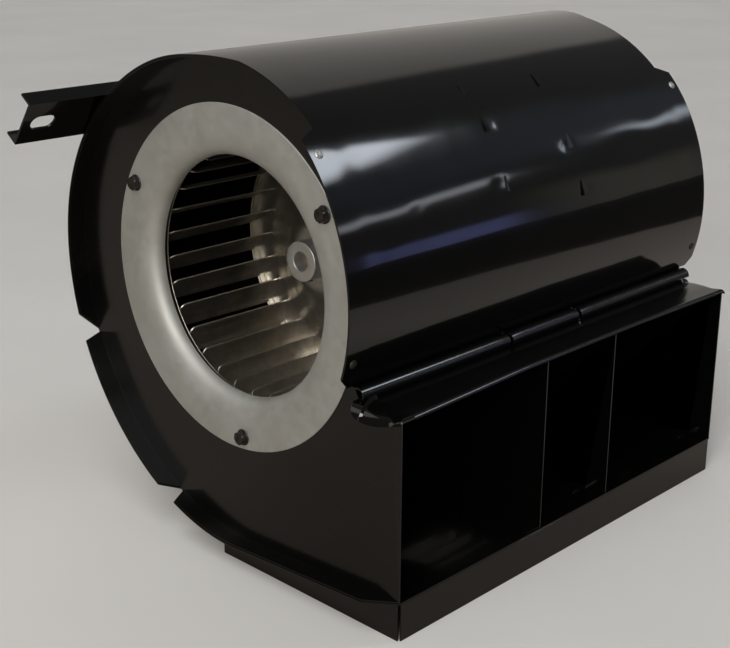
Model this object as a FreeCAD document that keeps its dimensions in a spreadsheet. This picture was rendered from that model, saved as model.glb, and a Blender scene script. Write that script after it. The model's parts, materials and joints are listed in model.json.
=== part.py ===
import FreeCAD, Part
import math
import os
import re

import Sketcher

# Twin-inlet centrifugal blower: a sheet-steel scroll housing with an inlet ring at each
# end, two squirrel-cage wheels on one shaft and the motor that turns it in the middle cell.
# Frame: +X along the shaft, +Z up, the outlet faces -Y. The origin lies under the middle
# of the whole part, at the height of the surface that the stand rests on.

Vector = FreeCAD.Vector
Rotation = FreeCAD.Rotation
Placement = FreeCAD.Placement

SIZES = {
    # housing
    "housing_width": 343.0,
    "rim_height": 12.7,
    "gauge": 0.9,
    "outlet_front": -148.66,
    "shaft_y": -4.66,
    "shaft_z": 189.9,
    "floor_front": 24.5,
    "outlet_top": 138.0,
    "seam_gap": 0.1,
    "fit_gap": 0.05,
    "divider_offset": 36.8,
    # scroll: outside radius of the wrapper at equal steps from the cutoff to the floor
    "scroll_start": 200.0,
    "scroll_end": -97.0,
    "scroll_radius_a": 114.1,
    "scroll_radius_b": 117.2,
    "scroll_radius_c": 126.9,
    "scroll_radius_d": 136.5,
    "scroll_radius_e": 143.1,
    "scroll_radius_f": 151.3,
    "scroll_radius_g": 155.1,
    "scroll_radius_h": 164.4,
    "scroll_radius_i": 173.8,
    # stand
    "stand_depth": 156.0,
    "stand_flange": 14.0,
    "stand_corner_gap": 1.4,
    # inlet rings
    "ring_radius": 108.7,
    "ring_flat_radius": 94.5,
    "throat_radius": 76.3,
    "throat_depth": 10.5,
    "plate_hole_radius": 95.0,
    "ring_screw_circle": 100.7,
    "ring_screw_radius": 1.85,
    "plate_rivet_radius": 1.3,
    # mounting rail
    "rail_length": 470.0,
    "rail_gauge": 1.5,
    "rail_web": 34.0,
    "rail_flange": 10.5,
    "rail_angle": 36.8,
    "rail_seat_radius": 147.9,
    "slot_length": 17.5,
    "slot_width": 11.0,
    "slot_inset": 14.8,
    "rail_rivet_radius": 1.6,
    "rail_rivet_inner": 60.0,
    "rail_rivet_outer": 160.0,
    # wheels
    "wheel_radius": 90.5,
    "blade_inner_radius": 76.5,
    "blade_outer_radius": 89.4,
    "blade_gauge": 0.6,
    "blade_near": 155.8,
    "blade_far": 68.6,
    "blade_count": 29,
    "blade_phase": 10.6,
    "blade_sweep": 8.0,
    "disc_gauge": 1.2,
    "disc_turn": 0.3,
    "disc_flat_radius": 22.0,
    "disc_foot_radius": 66.0,
    "disc_foot_rise": 3.0,
    "disc_edge_radius": 72.0,
    "disc_lip": 6.0,
    "rim_band": 7.0,
    "rim_gauge": 0.8,
    "rim_flat_radius": 79.0,
    "hub_face": 111.5,
    "hub_length": 30.0,
    "hub_radius": 13.3,
    "hub_neck_radius": 12.5,
    "disc_seat": 97.2,
    "set_screw_radius": 3.1,
    "set_screw_length": 7.5,
    "hub_chamfer": 0.8,
    "hub_collar_radius": 16.3,
    "bore_radius": 6.4,
    "shaft_radius": 6.35,
    "shaft_half_length": 99.5,
    # motor
    "motor_radius": 62.0,
    "motor_wall": 1.6,
    "motor_half_length": 22.0,
    "bell_depth": 11.0,
    "bell_wall": 2.2,
    "bolt_circle": 54.0,
    "bolt_radius": 1.9,
    "bearing_radius": 11.0,
    "bearing_length": 14.0,
    "bearing_inner_face": 29.0,
    "running_gap": 0.04,
    "core_radius": 31.0,
    "core_half_length": 16.0,
    "air_gap": 0.5,
    "mount_circle": 42.0,
    "mount_screw_radius": 2.1,
    "divider_hole_radius": 24.0,
    "screw_room": 0.3,
    "press_gap": 0.02,
    "bell_corner": 4.0,
    "bell_inner_corner": 5.0,
    "bell_step": 3.0,
    "boss_wall": 4.0,
    "boss_back_wall": 3.0,
    "bearing_room": 0.3,
    "washer_back": 1.6,
    "washer_step": 1.5,
    "end_ring_length": 5.0,
    "end_ring_step": 3.0,
}

doc = FreeCAD.newDocument("blower")
sheet = doc.addObject("Spreadsheet::Sheet", "Sizes")
for row, (alias, number) in enumerate(SIZES.items(), start=1):
    sheet.set("A%d" % row, alias)
    sheet.set("B%d" % row, str(number))
    sheet.setAlias("B%d" % row, alias)
doc.recompute()

parts = []


def size(alias):
    return float(sheet.get(alias))


def formula(text):
    """Points each alias in an expression at the sheet."""
    return re.sub(r"[a-z_]+", lambda word: "Sizes." + word.group(), text)


def evaluate(text):
    return float(sheet.evalExpression(formula(text)))


GAUGE = size("gauge")
HALF_WIDTH = size("housing_width") / 2
FRONT = size("outlet_front")
AXIS = Vector(0, size("shaft_y"), size("shaft_z"))
ALONG_X = Rotation(Vector(0, 1, 0), 90)
SIDES = (("left", -1), ("right", 1))


def shape_part(label, shape):
    """A sub-part whose shape is worked out in code from the sheet."""
    part = doc.addObject("Part::Feature", label)
    part.Label = label
    part.Shape = shape
    parts.append(part)
    return part


def new_body(label):
    body = doc.addObject("PartDesign::Body", label)
    body.Label = label
    parts.append(body)
    return body


def new_sketch(body, name, role):
    sketch = body.newObject("Sketcher::SketchObject", name)
    plane = [item for item in body.Origin.OriginFeatures if item.Role == role][0]
    sketch.AttachmentSupport = [(plane, "")]
    sketch.MapMode = "FlatFace"
    return sketch


def drive(sketch, kind, places, text):
    """Adds one dimension to a sketch and binds it to an expression."""
    number = sketch.addConstraint(Sketcher.Constraint(kind, *places, evaluate(text)))
    sketch.setExpression("Constraints[%d]" % number, formula(text))


def polygon(body, name, role, corners):
    """A closed outline of straight edges. A corner is a pair of expressions."""
    sketch = new_sketch(body, name, role)
    points = [Vector(evaluate(across), evaluate(up), 0) for across, up in corners]
    followers = points[1:] + points[:1]
    for start, end in zip(points, followers):
        sketch.addGeometry(Part.LineSegment(start, end), False)
    for index, (across, up) in enumerate(corners):
        following = (index + 1) % len(corners)
        sketch.addConstraint(Sketcher.Constraint("Coincident", index, 2, following, 1))
        drive(sketch, "DistanceX", (-1, 1, index, 1), across)
        drive(sketch, "DistanceY", (-1, 1, index, 1), up)
    return sketch


def turned(label, corners):
    """A solid of revolution about the shaft's line. A corner is (along X, radius)."""
    body = new_body(label)
    sketch = polygon(body, label + "_profile", "XY_Plane", corners)
    turn = body.newObject("PartDesign::Revolution", label + "_turn")
    turn.Profile = sketch
    turn.ReferenceAxis = (sketch, ["H_Axis"])
    turn.Angle = 360
    on_shaft(body)
    return body


def on_shaft(part):
    """Binds a part's place to the shaft's line."""
    part.setExpression("Placement.Base.y", formula("shaft_y"))
    part.setExpression("Placement.Base.z", formula("shaft_z"))


def mirrored(side, stations):
    """Profile corners for one side of the middle plane."""
    sign = "0 - (%s)" if side < 0 else "%s"
    return [(sign % along, radius) for along, radius in stations]


def polar(radius, degrees, along=0.0):
    angle = math.radians(degrees)
    return Vector(along, AXIS.y + radius * math.cos(angle), AXIS.z + radius * math.sin(angle))


def extruded(wire, start, length):
    """A face bounded by a wire in the YZ plane, made solid along X from start."""
    solid = Part.Face(wire).extrude(Vector(length, 0, 0))
    solid.translate(Vector(start, 0, 0))
    return solid


def loop(points):
    return Part.makePolygon(points + points[:1])


def box(low, high):
    return Part.makeBox(high.x - low.x, high.y - low.y, high.z - low.z, low)


# --- The scroll's curve ---

SCROLL_RADII = [size("scroll_radius_" + letter) for letter in "abcdefghi"]
SCROLL_START = size("scroll_start")
SCROLL_STEP = (size("scroll_end") - SCROLL_START) / (len(SCROLL_RADII) - 1)


def scroll_point(index, inset):
    return polar(SCROLL_RADII[index] - inset, SCROLL_START + index * SCROLL_STEP)


def floor_corner(inset, back=0.0):
    """A point on the floor, this far behind its front edge."""
    low = scroll_point(len(SCROLL_RADII) - 1, inset)
    front = Vector(0, FRONT, size("floor_front") + inset)
    return front + (low - front) * (back / (low.y - front.y))


def scroll_edges(inset, back=0.0):
    """The scroll from the cutoff over the top to the floor, and the floor to its front."""
    points = [scroll_point(index, inset) for index in range(len(SCROLL_RADII))]
    front = floor_corner(inset, back)
    curve = Part.BSplineCurve()
    curve.interpolate(points)
    return [curve.toShape(), Part.LineSegment(points[-1], front).toShape()]


def outward(degrees):
    angle = math.radians(degrees)
    return Vector(0, math.cos(angle), math.sin(angle))


def tangent(degrees):
    return outward(degrees + 90)


SCROLL_CURVE = scroll_edges(0.0)[0].Curve


def scroll_radius(degrees):
    """The wrapper's outside radius at an angle."""
    guess = polar(SCROLL_RADII[4], degrees)
    nearest = SCROLL_CURVE.value(SCROLL_CURVE.parameter(guess))
    return nearest.distanceToPoint(AXIS)


def scroll_place(degrees):
    """A point on the wrapper's outside near an angle, and the direction square to it."""
    parameter = SCROLL_CURVE.parameter(polar(scroll_radius(degrees), degrees))
    along = SCROLL_CURVE.tangent(parameter)[0]
    square = Vector(0, along.z, -along.y)
    if square.dot(outward(degrees)) < 0:
        square = square * -1
    return SCROLL_CURVE.value(parameter), square


def wedge(origin, along, normal, outline, half_depth=25):
    """A prism across the sheet at origin; outline is (distance along it, place on X)."""
    corners = [origin + along * distance + Vector(across, 0, 0) for distance, across in outline]
    face = Part.Face(loop([corner - normal * half_depth for corner in corners]))
    return face.extrude(normal * 2 * half_depth)


def sheet_ring(inset, back, start, length):
    """A strip of sheet along the whole scroll and floor, its outside at an inset."""
    outside = scroll_edges(inset, back)
    inside = scroll_edges(inset + GAUGE, back)
    first = Part.makeLine(inside[0].Vertexes[0].Point, outside[0].Vertexes[0].Point)
    last = Part.makeLine(outside[1].Vertexes[1].Point, inside[1].Vertexes[1].Point)
    edges = outside + [last] + inside[::-1] + [first]
    return extruded(Part.Wire(Part.__sortEdges__(edges)), start, length)


# --- Scroll wrapper and end plates: the wrapper's rims lie over the plates' flanges ---

RIM = size("rim_height")
PLATE_INSET = GAUGE + size("seam_gap")
# Each notch in a rim: the angle where one stretch stops, the angle where the next one
# starts, and how far each end slopes back before the rim reaches its full height.
RIM_NOTCHES = (
    (125.0, 95.0, 5.6, 33.0),
    (-24.6, -25.4, 13.0, 3.5),
    (-70.6, -71.4, 9.5, 6.0),
)
FRONT_SLOPE = 20.0
CUTOFF_CORNER = 6.0


def rim_cuts(side, widen=0.0):
    """Everything taken out of one end's rim. The flange under it is cut a little wider."""
    plate = side * HALF_WIDTH
    edge = side * (HALF_WIDTH + RIM)
    past = side * (HALF_WIDTH + RIM + 2)
    cuts = []
    for stop, start, slope_before, slope_after in RIM_NOTCHES:
        middle = (stop + start) / 2
        radius = scroll_radius(middle)
        reach = radius * math.sin(math.radians((stop - start) / 2)) + widen
        outline = [
            (reach, plate),
            (reach + slope_before, edge),
            (reach + slope_before, past),
            (-reach - slope_after, past),
            (-reach - slope_after, edge),
            (-reach, plate),
        ]
        cuts.append(wedge(polar(radius, middle), tangent(middle), outward(middle), outline))
    corner = CUTOFF_CORNER + widen
    cutoff = [(1, edge - side * (corner + 1)), (1, past), (-corner - 2, past)]
    start = SCROLL_START
    cuts.append(wedge(polar(SCROLL_RADII[0], start), tangent(start), outward(start), cutoff))
    front = floor_corner(0)
    backward = (floor_corner(0, 10) - front).normalize()
    slope = [(-2, plate), (widen, plate), (FRONT_SLOPE + widen, edge), (FRONT_SLOPE, past), (-2, past)]
    cuts.append(wedge(front, backward, Vector(0, -backward.z, backward.y), slope))
    return cuts


# Places round the scroll of the rivets that hold a rim to the flange under it.
RIVET_ANGLES = (133.0, 192.0)


# How far a drill reaches to each side of a sheet.
DRILL = 10.0


def plate_rivet_holes(side):
    radius = size("plate_rivet_radius") + size("seam_gap")
    holes = []
    for degrees in RIVET_ANGLES:
        place, square = scroll_place(degrees)
        place.x = side * (HALF_WIDTH + RIM / 2)
        holes.append(Part.makeCylinder(radius, 2 * DRILL, place - square * DRILL, square))
    return holes


# Places along X of the rivets through the rail and the wrapper.
RAIL_RIVET_PLACES = [
    side * size("rail_rivet_" + place) for side in (-1, 1) for place in ("inner", "outer")
]

# Angles of the tabs by which each divider is held in slots in the wrapper.
TAB_ANGLES = {
    -1: (133.5, 152.0, 122.0, 60.0, 10.0, -40.0, -80.0),
    1: (143.8, 159.0, 122.5, 60.0, 10.0, -40.0, -80.0),
}
TAB_LENGTH = 10.0
TAB_ROOT = 1.9
TAB_PROUD = 0.6
SLOT_CLEARANCE = 0.2


def divider_tab(side, degrees, clearance, root, proud):
    """A block on a divider's plane, from a root inside the wrapper to proud of its outside."""
    half = TAB_LENGTH / 2 + clearance
    across = side * size("divider_offset")
    thick = GAUGE / 2 + clearance
    outline = [(-half, across - thick), (half, across - thick), (half, across + thick)]
    outline += [(-half, across + thick)]
    middle = polar(scroll_radius(degrees) + (proud - root) / 2, degrees)
    return wedge(middle, tangent(degrees), outward(degrees), outline, (root + proud) / 2)


def make_wrapper():
    wrapper = sheet_ring(0.0, 0.0, -HALF_WIDTH - RIM, 2 * (HALF_WIDTH + RIM))
    cuts = []
    for name, side in SIDES:
        cuts += rim_cuts(side)
        for degrees in TAB_ANGLES[side]:
            cuts.append(divider_tab(side, degrees, SLOT_CLEARANCE, DRILL, DRILL))
        cuts += plate_rivet_holes(side)
    for along in RAIL_RIVET_PLACES:
        base = polar(size("rail_seat_radius") - 10, size("rail_angle"), along)
        radius = size("rail_rivet_radius") + size("seam_gap")
        cuts.append(Part.makeCylinder(radius, 20, base, outward(size("rail_angle"))))
    shape_part("scroll_wrapper", wrapper.cut(cuts))


# The outlet's upper edge, from the front back to the cutoff: places behind the front, and heights.
LIP_BACK = ((0.6, 139.4), (3.4, 141.2), (33.0, 140.9))
FOOT_LENGTH = 15.0
FOOT_DEPTH = 8.0
FOOT_BEHIND = 17.0
LEFT_FOOT_BEHIND = 1.0


def plate_outline(inset, back):
    """The area closed by the scroll, the floor, the outlet's front and its upper edge."""
    edges = scroll_edges(inset, back)
    lip = [edges[1].Vertexes[1].Point]
    lip += [Vector(0, FRONT + max(behind, back), height) for behind, height in LIP_BACK]
    lip += [edges[0].Vertexes[0].Point]
    edges += [Part.makeLine(one, other) for one, other in zip(lip, lip[1:])]
    return Part.Wire(Part.__sortEdges__(edges))


def disc_at(radius, start, length):
    return Part.makeCylinder(radius, length, Vector(start, AXIS.y, AXIS.z), Vector(1, 0, 0))


def foot(across, toward, behind):
    """A small tab folded from a plate's lower edge and laid on the floor."""
    base = floor_corner(PLATE_INSET, behind)
    low = min(across, across + toward * FOOT_LENGTH)
    return Part.makeBox(FOOT_LENGTH, FOOT_DEPTH, GAUGE, Vector(low, base.y, base.z + size("fit_gap")))


RING_SCREW_ANGLES = (28.0, 146.0, -96.0)


def ring_screw_holes(side):
    """The clearance holes for the screws that hold an inlet ring to its end plate."""
    radius = size("ring_screw_radius") + size("fit_gap")
    holes = []
    for degrees in RING_SCREW_ANGLES:
        centre = polar(size("ring_screw_circle"), degrees, side * HALF_WIDTH - 5)
        holes.append(Part.makeCylinder(radius, 10, centre, Vector(1, 0, 0)))
    return holes


# --- The cutoff strip's section: tucked under the wrapper, a round nose, then the outlet's lip ---

FLAP_OUTLINE = (
    (0.6, 139.6),
    (4.0, 136.9),
    (8.0, 134.9),
    (14.0, 133.0),
    (20.0, 132.1),
    (26.0, 131.9),
    (31.0, 132.3),
    (35.0, 133.8),
    (37.5, 136.3),
    (38.5, 139.0),
    (37.5, 140.9),
    (27.0, 142.6),
    (14.0, 143.0),
    (3.0, 142.4),
)


def lip_point(behind, height):
    return Vector(0, FRONT + behind, height)


# The rolled nose: its centre, the radius of its inside, and where it turns in under the wrapper.
NOSE_CENTRE = (34.0, 145.4)
NOSE_RADIUS = 4.1
NOSE_TOP_ANGLE = math.radians(61)
LIP_HEIGHT = 141.6
STRIP_REACH = HALF_WIDTH + GAUGE + size("seam_gap")
STRIP_ROOM = 0.3
STRIP_TUCK = 1.5
TUCK_TURNS = (6.0, 0.6)
# Corners of the section: distance behind, or past, the place they hang on, and height above it.
STRIP_TURN = (5.2, 4.4)
LIP_CROWN = (16.0, 1.1)
LIP_BROW = (2.2, 0.5)
LIP_FRONT = (-0.5, -1.3)


def strip_edges(lift):
    """The strip's section, from its tucked end to the outlet's front; lift is the way out."""
    behind, height = NOSE_CENTRE
    radius = NOSE_RADIUS + lift
    drop = height - LIP_HEIGHT - lift
    depth = SCROLL_RADII[0] - GAUGE - STRIP_TUCK + lift
    tucked, under = (polar(depth, SCROLL_START - turned_back) for turned_back in TUCK_TURNS)
    turn = lip_point(behind + STRIP_TURN[0] - lift, height + STRIP_TURN[1] + lift / 2)
    top = lip_point(behind + radius * math.cos(NOSE_TOP_ANGLE), height + radius * math.sin(NOSE_TOP_ANGLE))
    nose = lip_point(behind - radius, height)
    valley = lip_point(behind - math.sqrt(radius ** 2 - drop ** 2), height - drop)
    crown = lip_point(LIP_CROWN[0], LIP_HEIGHT + LIP_CROWN[1] + lift)
    brow = lip_point(LIP_BROW[0], LIP_HEIGHT + LIP_BROW[1] + lift)
    front = lip_point(LIP_FRONT[0] - lift / 2, LIP_HEIGHT + LIP_FRONT[1] + lift / 2)
    return [
        Part.makeLine(tucked, under),
        Part.makeLine(under, turn),
        Part.makeLine(turn, top),
        Part.Arc(top, nose, valley).toShape(),
        Part.Arc(valley, crown, brow).toShape(),
        Part.makeLine(brow, front),
    ]


def strip_section():
    lower = strip_edges(0.0)
    upper = strip_edges(GAUGE)
    ends = [
        Part.makeLine(lower[0].Vertexes[0].Point, upper[0].Vertexes[0].Point),
        Part.makeLine(lower[-1].Vertexes[1].Point, upper[-1].Vertexes[1].Point),
    ]
    return Part.Face(Part.Wire(Part.__sortEdges__(lower + upper + ends)))


def strip_zone():
    """The room that the strip takes up, with a little to spare all round."""
    zone = strip_section().makeOffset2D(STRIP_ROOM)
    reach = STRIP_REACH + STRIP_ROOM
    zone.translate(Vector(-reach, 0, 0))
    return zone.extrude(Vector(2 * reach, 0, 0))


PLATE_BACK = 0.3
DIVIDER_BACK = 0.6
FLANGE_LAP = 0.6
FOOT_LAP = 0.4
NOTCH_ROOM = 0.6


# The end plates stop short of the outlet's lip, whose ends fold down over them.
FOLD_ZONE = (
    (-5.0, 137.2),
    (0.6, 137.2),
    (8.0, 136.2),
    (14.0, 135.7),
    (26.0, 136.0),
    (33.0, 136.3),
    (37.5, 137.2),
    (38.5, 140.5),
    (33.0, 144.0),
    (-5.0, 144.0),
)


def fold_zone():
    outline = loop([lip_point(*corner) for corner in FOLD_ZONE])
    return extruded(outline, -STRIP_REACH, 2 * STRIP_REACH)


def make_end_plates():
    for name, side in SIDES:
        outer = side * HALF_WIDTH
        plate = extruded(plate_outline(PLATE_INSET, PLATE_BACK), min(outer, outer - side * GAUGE), GAUGE)
        hole = disc_at(size("plate_hole_radius"), outer - DRILL / 2, DRILL)
        flange_start = min(outer - side * GAUGE, outer + side * (RIM - FLANGE_LAP))
        flange = sheet_ring(PLATE_INSET, PLATE_BACK, flange_start, RIM + GAUGE - FLANGE_LAP)
        flange = flange.cut(rim_cuts(side, NOTCH_ROOM))
        plate = plate.cut([hole] + ring_screw_holes(side))
        shape = plate.fuse([flange, foot(outer - side * FOOT_LAP, -side, FOOT_BEHIND)]).removeSplitter()
        shape_part(name + "_end_plate", shape.cut(plate_rivet_holes(side) + [strip_zone(), fold_zone()]))


def make_dividers():
    for name, side in SIDES:
        across = side * size("divider_offset")
        plate = extruded(plate_outline(PLATE_INSET, DIVIDER_BACK), across - GAUGE / 2, GAUGE)
        holes = bolt_rods(size("mount_circle"), size("mount_screw_radius") + size("screw_room"), HALF_WIDTH)
        holes.append(disc_at(size("divider_hole_radius"), across - DRILL / 2, DRILL))
        tabs = [divider_tab(side, degrees, 0.0, TAB_ROOT, TAB_PROUD) for degrees in TAB_ANGLES[side]]
        feet = foot(across, -1, LEFT_FOOT_BEHIND if side < 0 else FOOT_BEHIND)
        shape_part(name + "_divider", plate.cut(holes).fuse(tabs + [feet]).removeSplitter())


# --- Cutoff strip ---

def lip_corner(along, behind, above=0.0):
    """A corner of a box that gives a plate's edge room in the nose of the strip."""
    return Vector(along, FRONT + behind, NOTCH_FLOOR + above)


# The notches in the nose, which give the dividers room: width, places behind the front, height.
NOTCH = 1.8
NOTCH_FRONT = 24.0
NOTCH_BACK = 44.0
NOTCH_HEIGHT = 35.0
NOTCH_FLOOR = 142.8


def make_cutoff_strip():
    reach = STRIP_REACH
    section = strip_section()
    section.translate(Vector(-reach, 0, 0))
    strip = section.extrude(Vector(2 * reach, 0, 0))
    notches = []
    flaps = []
    for name, side in SIDES:
        across = side * size("divider_offset")
        low = lip_corner(across - NOTCH / 2, NOTCH_FRONT)
        notches.append(box(low, lip_corner(across + NOTCH / 2, NOTCH_BACK, NOTCH_HEIGHT)))
        start = min(side * reach, side * (reach - GAUGE))
        flaps.append(extruded(loop([lip_point(*corner) for corner in FLAP_OUTLINE]), start, GAUGE))
    shape_part("cutoff_strip", strip.fuse(flaps).cut(notches).removeSplitter())


# --- Inlet rings: a flat collar on the end plate that rolls in to the throat ---


RING_SEAT = 0.02
ROLL_POLES = (8.0, 3.5)


def ring_section(side):
    """Half section of a ring, in the plane of the shaft: (out along X, radius)."""
    plate = HALF_WIDTH + RING_SEAT
    throat = HALF_WIDTH - size("throat_depth")
    flat = size("ring_flat_radius")
    rim = size("ring_radius")
    neck = size("throat_radius")
    collar = plate + GAUGE

    def place(along, radius):
        return Vector(side * along, AXIS.y, AXIS.z + radius)

    def roll(outside, thickness):
        curve = Part.BezierCurve()
        curve.setPoles([
            place(outside, flat),
            place(outside, neck + ROLL_POLES[0]),
            place(outside - ROLL_POLES[1], neck + thickness),
            place(throat, neck + thickness),
        ])
        return curve.toShape()

    face_roll = roll(collar, 0.0)
    back_roll = roll(plate, GAUGE)
    return Part.Wire(Part.__sortEdges__([
        Part.makeLine(place(collar, rim), place(collar, flat)),
        face_roll,
        Part.makeLine(place(throat, neck), place(throat, neck + GAUGE)),
        back_roll,
        Part.makeLine(place(plate, flat), place(plate, rim)),
        Part.makeLine(place(plate, rim), place(collar, rim)),
    ]))


def make_inlet_rings():
    for name, side in SIDES:
        ring = Part.Face(ring_section(side)).revolve(AXIS, Vector(1, 0, 0), 360)
        shape_part(name + "_inlet_ring", ring.cut(ring_screw_holes(side)))


HEAD_GAP = 0.03
WASHER_SHARE = 0.65
WASHER_THICKNESS = 0.8
CHAMFER_FOOT = 0.66
CHAMFER_TOP = 0.46
# Length of the shank, width across the flats and height of the head.
RING_SCREW = (9.0, 8.2, 3.4)
MOUNT_SCREW = (8.5, 7.0, 3.0)


def hex_screw(base, direction, shank_radius, shank_length, across_flats, head_height):
    """A hex washer-head screw; base lies under the washer, the shank runs along direction."""
    out = direction * -1
    washer = Part.makeCylinder(across_flats * WASHER_SHARE, WASHER_THICKNESS, base, out)
    head_base = base + out * WASHER_THICKNESS
    turn = Rotation(Vector(0, 0, 1), out)
    corners = []
    for index in range(6):
        angle = math.radians(60 * index)
        corner = Vector(math.cos(angle), math.sin(angle), 0) * (across_flats / math.sqrt(3))
        corners.append(head_base + turn.multVec(corner))
    head = Part.Face(loop(corners)).extrude(out * head_height)
    widths = (across_flats * CHAMFER_FOOT, across_flats * CHAMFER_TOP)
    cone = Part.makeCone(*widths, head_height, head_base, out)
    shank = Part.makeCylinder(shank_radius, shank_length, base, direction)
    return head.common(cone).fuse([washer, shank]).removeSplitter()


def make_ring_screws():
    for name, side in SIDES:
        inward = Vector(-side, 0, 0)
        base = side * (HALF_WIDTH + GAUGE + HEAD_GAP)
        screws = []
        for degrees in RING_SCREW_ANGLES:
            centre = polar(size("ring_screw_circle"), degrees, base)
            screws.append(hex_screw(centre, inward, size("ring_screw_radius"), *RING_SCREW))
        shape_part(name + "_ring_screws", Part.makeCompound(screws))


# --- Rivets that hold the wrapper's rims to the flanges of the end plates ---

RIVET_GAP = 0.5
# Shares of a rivet's shank radius.
BALL_RADIUS = 2.3
BALL_DEPTH = 1.4
HEAD_RADIUS = 2.2
TAIL_RADIUS = 1.55
TAIL_HEIGHT = 0.6


def dome_rivet(base, direction, radius, grip):
    """A round-headed rivet: the head sits at base and the shank runs along direction."""
    out = direction * -1
    ball = Part.makeSphere(radius * BALL_RADIUS, base + direction * radius * BALL_DEPTH)
    head = ball.common(Part.makeCylinder(radius * HEAD_RADIUS, radius * BALL_RADIUS, base, out))
    shank = Part.makeCylinder(radius, grip, base, direction)
    tail_base = base + direction * grip
    tail = Part.makeCylinder(radius * TAIL_RADIUS, radius * TAIL_HEIGHT, tail_base, direction)
    return head.fuse([shank, tail]).removeSplitter()


def make_plate_rivets():
    grip = 2 * GAUGE + size("seam_gap") + RIVET_GAP
    for name, side in SIDES:
        rivets = []
        for degrees in RIVET_ANGLES:
            place, square = scroll_place(degrees)
            place.x = side * (HALF_WIDTH + RIM / 2)
            base = place + square * HEAD_GAP
            rivets.append(dome_rivet(base, square * -1, size("plate_rivet_radius"), grip))
        shape_part(name + "_plate_rivets", Part.makeCompound(rivets))


# --- Stand: a folded tray with a band across the front and a skirt under each end plate ---

STAND_GAP = 0.1
SHELF_DEPTH = 112.0
BAND_ROOM = 40.0
SHELF_ROOM = 60.0


def make_stand():
    edges = scroll_edges(-STAND_GAP)
    top = Vector(0, FRONT, size("outlet_top"))
    edges.append(Part.makeLine(edges[1].Vertexes[1].Point, top))
    edges.append(Part.makeLine(top, edges[0].Vertexes[0].Point))
    scroll = extruded(Part.Wire(Part.__sortEdges__(edges)), -HALF_WIDTH - 1, 2 * HALF_WIDTH + 2)
    shelf = sheet_ring(-STAND_GAP - GAUGE, 0.0, -HALF_WIDTH, 2 * HALF_WIDTH)
    gap = size("stand_corner_gap")
    flange = size("stand_flange")
    inner = HALF_WIDTH - gap
    band = box(Vector(-inner, FRONT, 0), Vector(inner, FRONT + GAUGE, BAND_ROOM)).cut(scroll)
    pieces = [shelf.common(box(Vector(-inner, FRONT, 0), Vector(inner, FRONT + flange, SHELF_ROOM)))]
    for name, side in SIDES:
        low, high = sorted((side * HALF_WIDTH, side * (HALF_WIDTH - GAUGE)))
        start = Vector(low, FRONT + gap, 0)
        pieces.append(box(start, Vector(high, FRONT + size("stand_depth"), BAND_ROOM)).cut(scroll))
        low, high = sorted((side * HALF_WIDTH, side * (HALF_WIDTH - flange)))
        corner = Vector(low, FRONT + gap, 0)
        pieces.append(shelf.common(box(corner, Vector(high, FRONT + SHELF_DEPTH, SHELF_ROOM))))
    shape_part("base_stand", band.fuse(pieces).removeSplitter())


# --- Mounting rail: a channel along the back of the scroll, slotted at both ends ---

def on_scroll(part, angle_alias):
    """Stands a body's Y axis outward from the shaft at an angle."""
    part.setExpression("Placement.Rotation.Angle", formula(angle_alias))
    part.setExpression("Placement.Base.y", formula("shaft_y"))
    part.setExpression("Placement.Base.z", formula("shaft_z"))


def make_rail():
    body = new_body("mounting_rail")
    seat = "rail_seat_radius"
    outer = "rail_seat_radius + rail_flange"
    inner_face = "rail_seat_radius + rail_gauge"
    half = "rail_web / 2"
    inside = "rail_web / 2 - rail_gauge"
    section = polygon(body, "rail_section", "YZ_Plane", [
        (seat, "0 - " + half),
        (outer, "0 - " + half),
        (outer, "rail_gauge - " + half),
        (inner_face, "rail_gauge - " + half),
        (inner_face, inside),
        (outer, inside),
        (outer, half),
        (seat, half),
    ])
    pad = body.newObject("PartDesign::Pad", "rail_pad")
    pad.Profile = section
    pad.setExpression("Length", formula("rail_length"))
    pad.Midplane = True
    doc.recompute()
    slots = new_sketch(body, "rail_slots", "XZ_Plane")
    for index, side in enumerate((-1, 1)):
        add_slot(slots, index * 4, side)
    for side in (-1, 1):
        for place in ("rail_rivet_inner", "rail_rivet_outer"):
            add_rivet_hole(slots, side, place)
    pocket = body.newObject("PartDesign::Pocket", "rail_slot_cut")
    pocket.Profile = slots
    pocket.Type = "ThroughAll"
    pocket.Midplane = True
    body.Placement = Placement(Vector(0, 0, 0), Rotation(Vector(1, 0, 0), 1))
    on_scroll(body, "rail_angle")
    return body


def add_rivet_hole(sketch, side, place):
    centre = Vector(side * evaluate(place), 0, 0)
    circle = Part.Circle(centre, Vector(0, 0, 1), evaluate("rail_rivet_radius"))
    number = sketch.addGeometry(circle, False)
    distance = place if side > 0 else "0 - " + place
    drive(sketch, "DistanceX", (-1, 1, number, 3), distance)
    drive(sketch, "Radius", (number,), "rail_rivet_radius + seam_gap")
    sketch.addConstraint(Sketcher.Constraint("PointOnObject", number, 3, -1))


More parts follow.
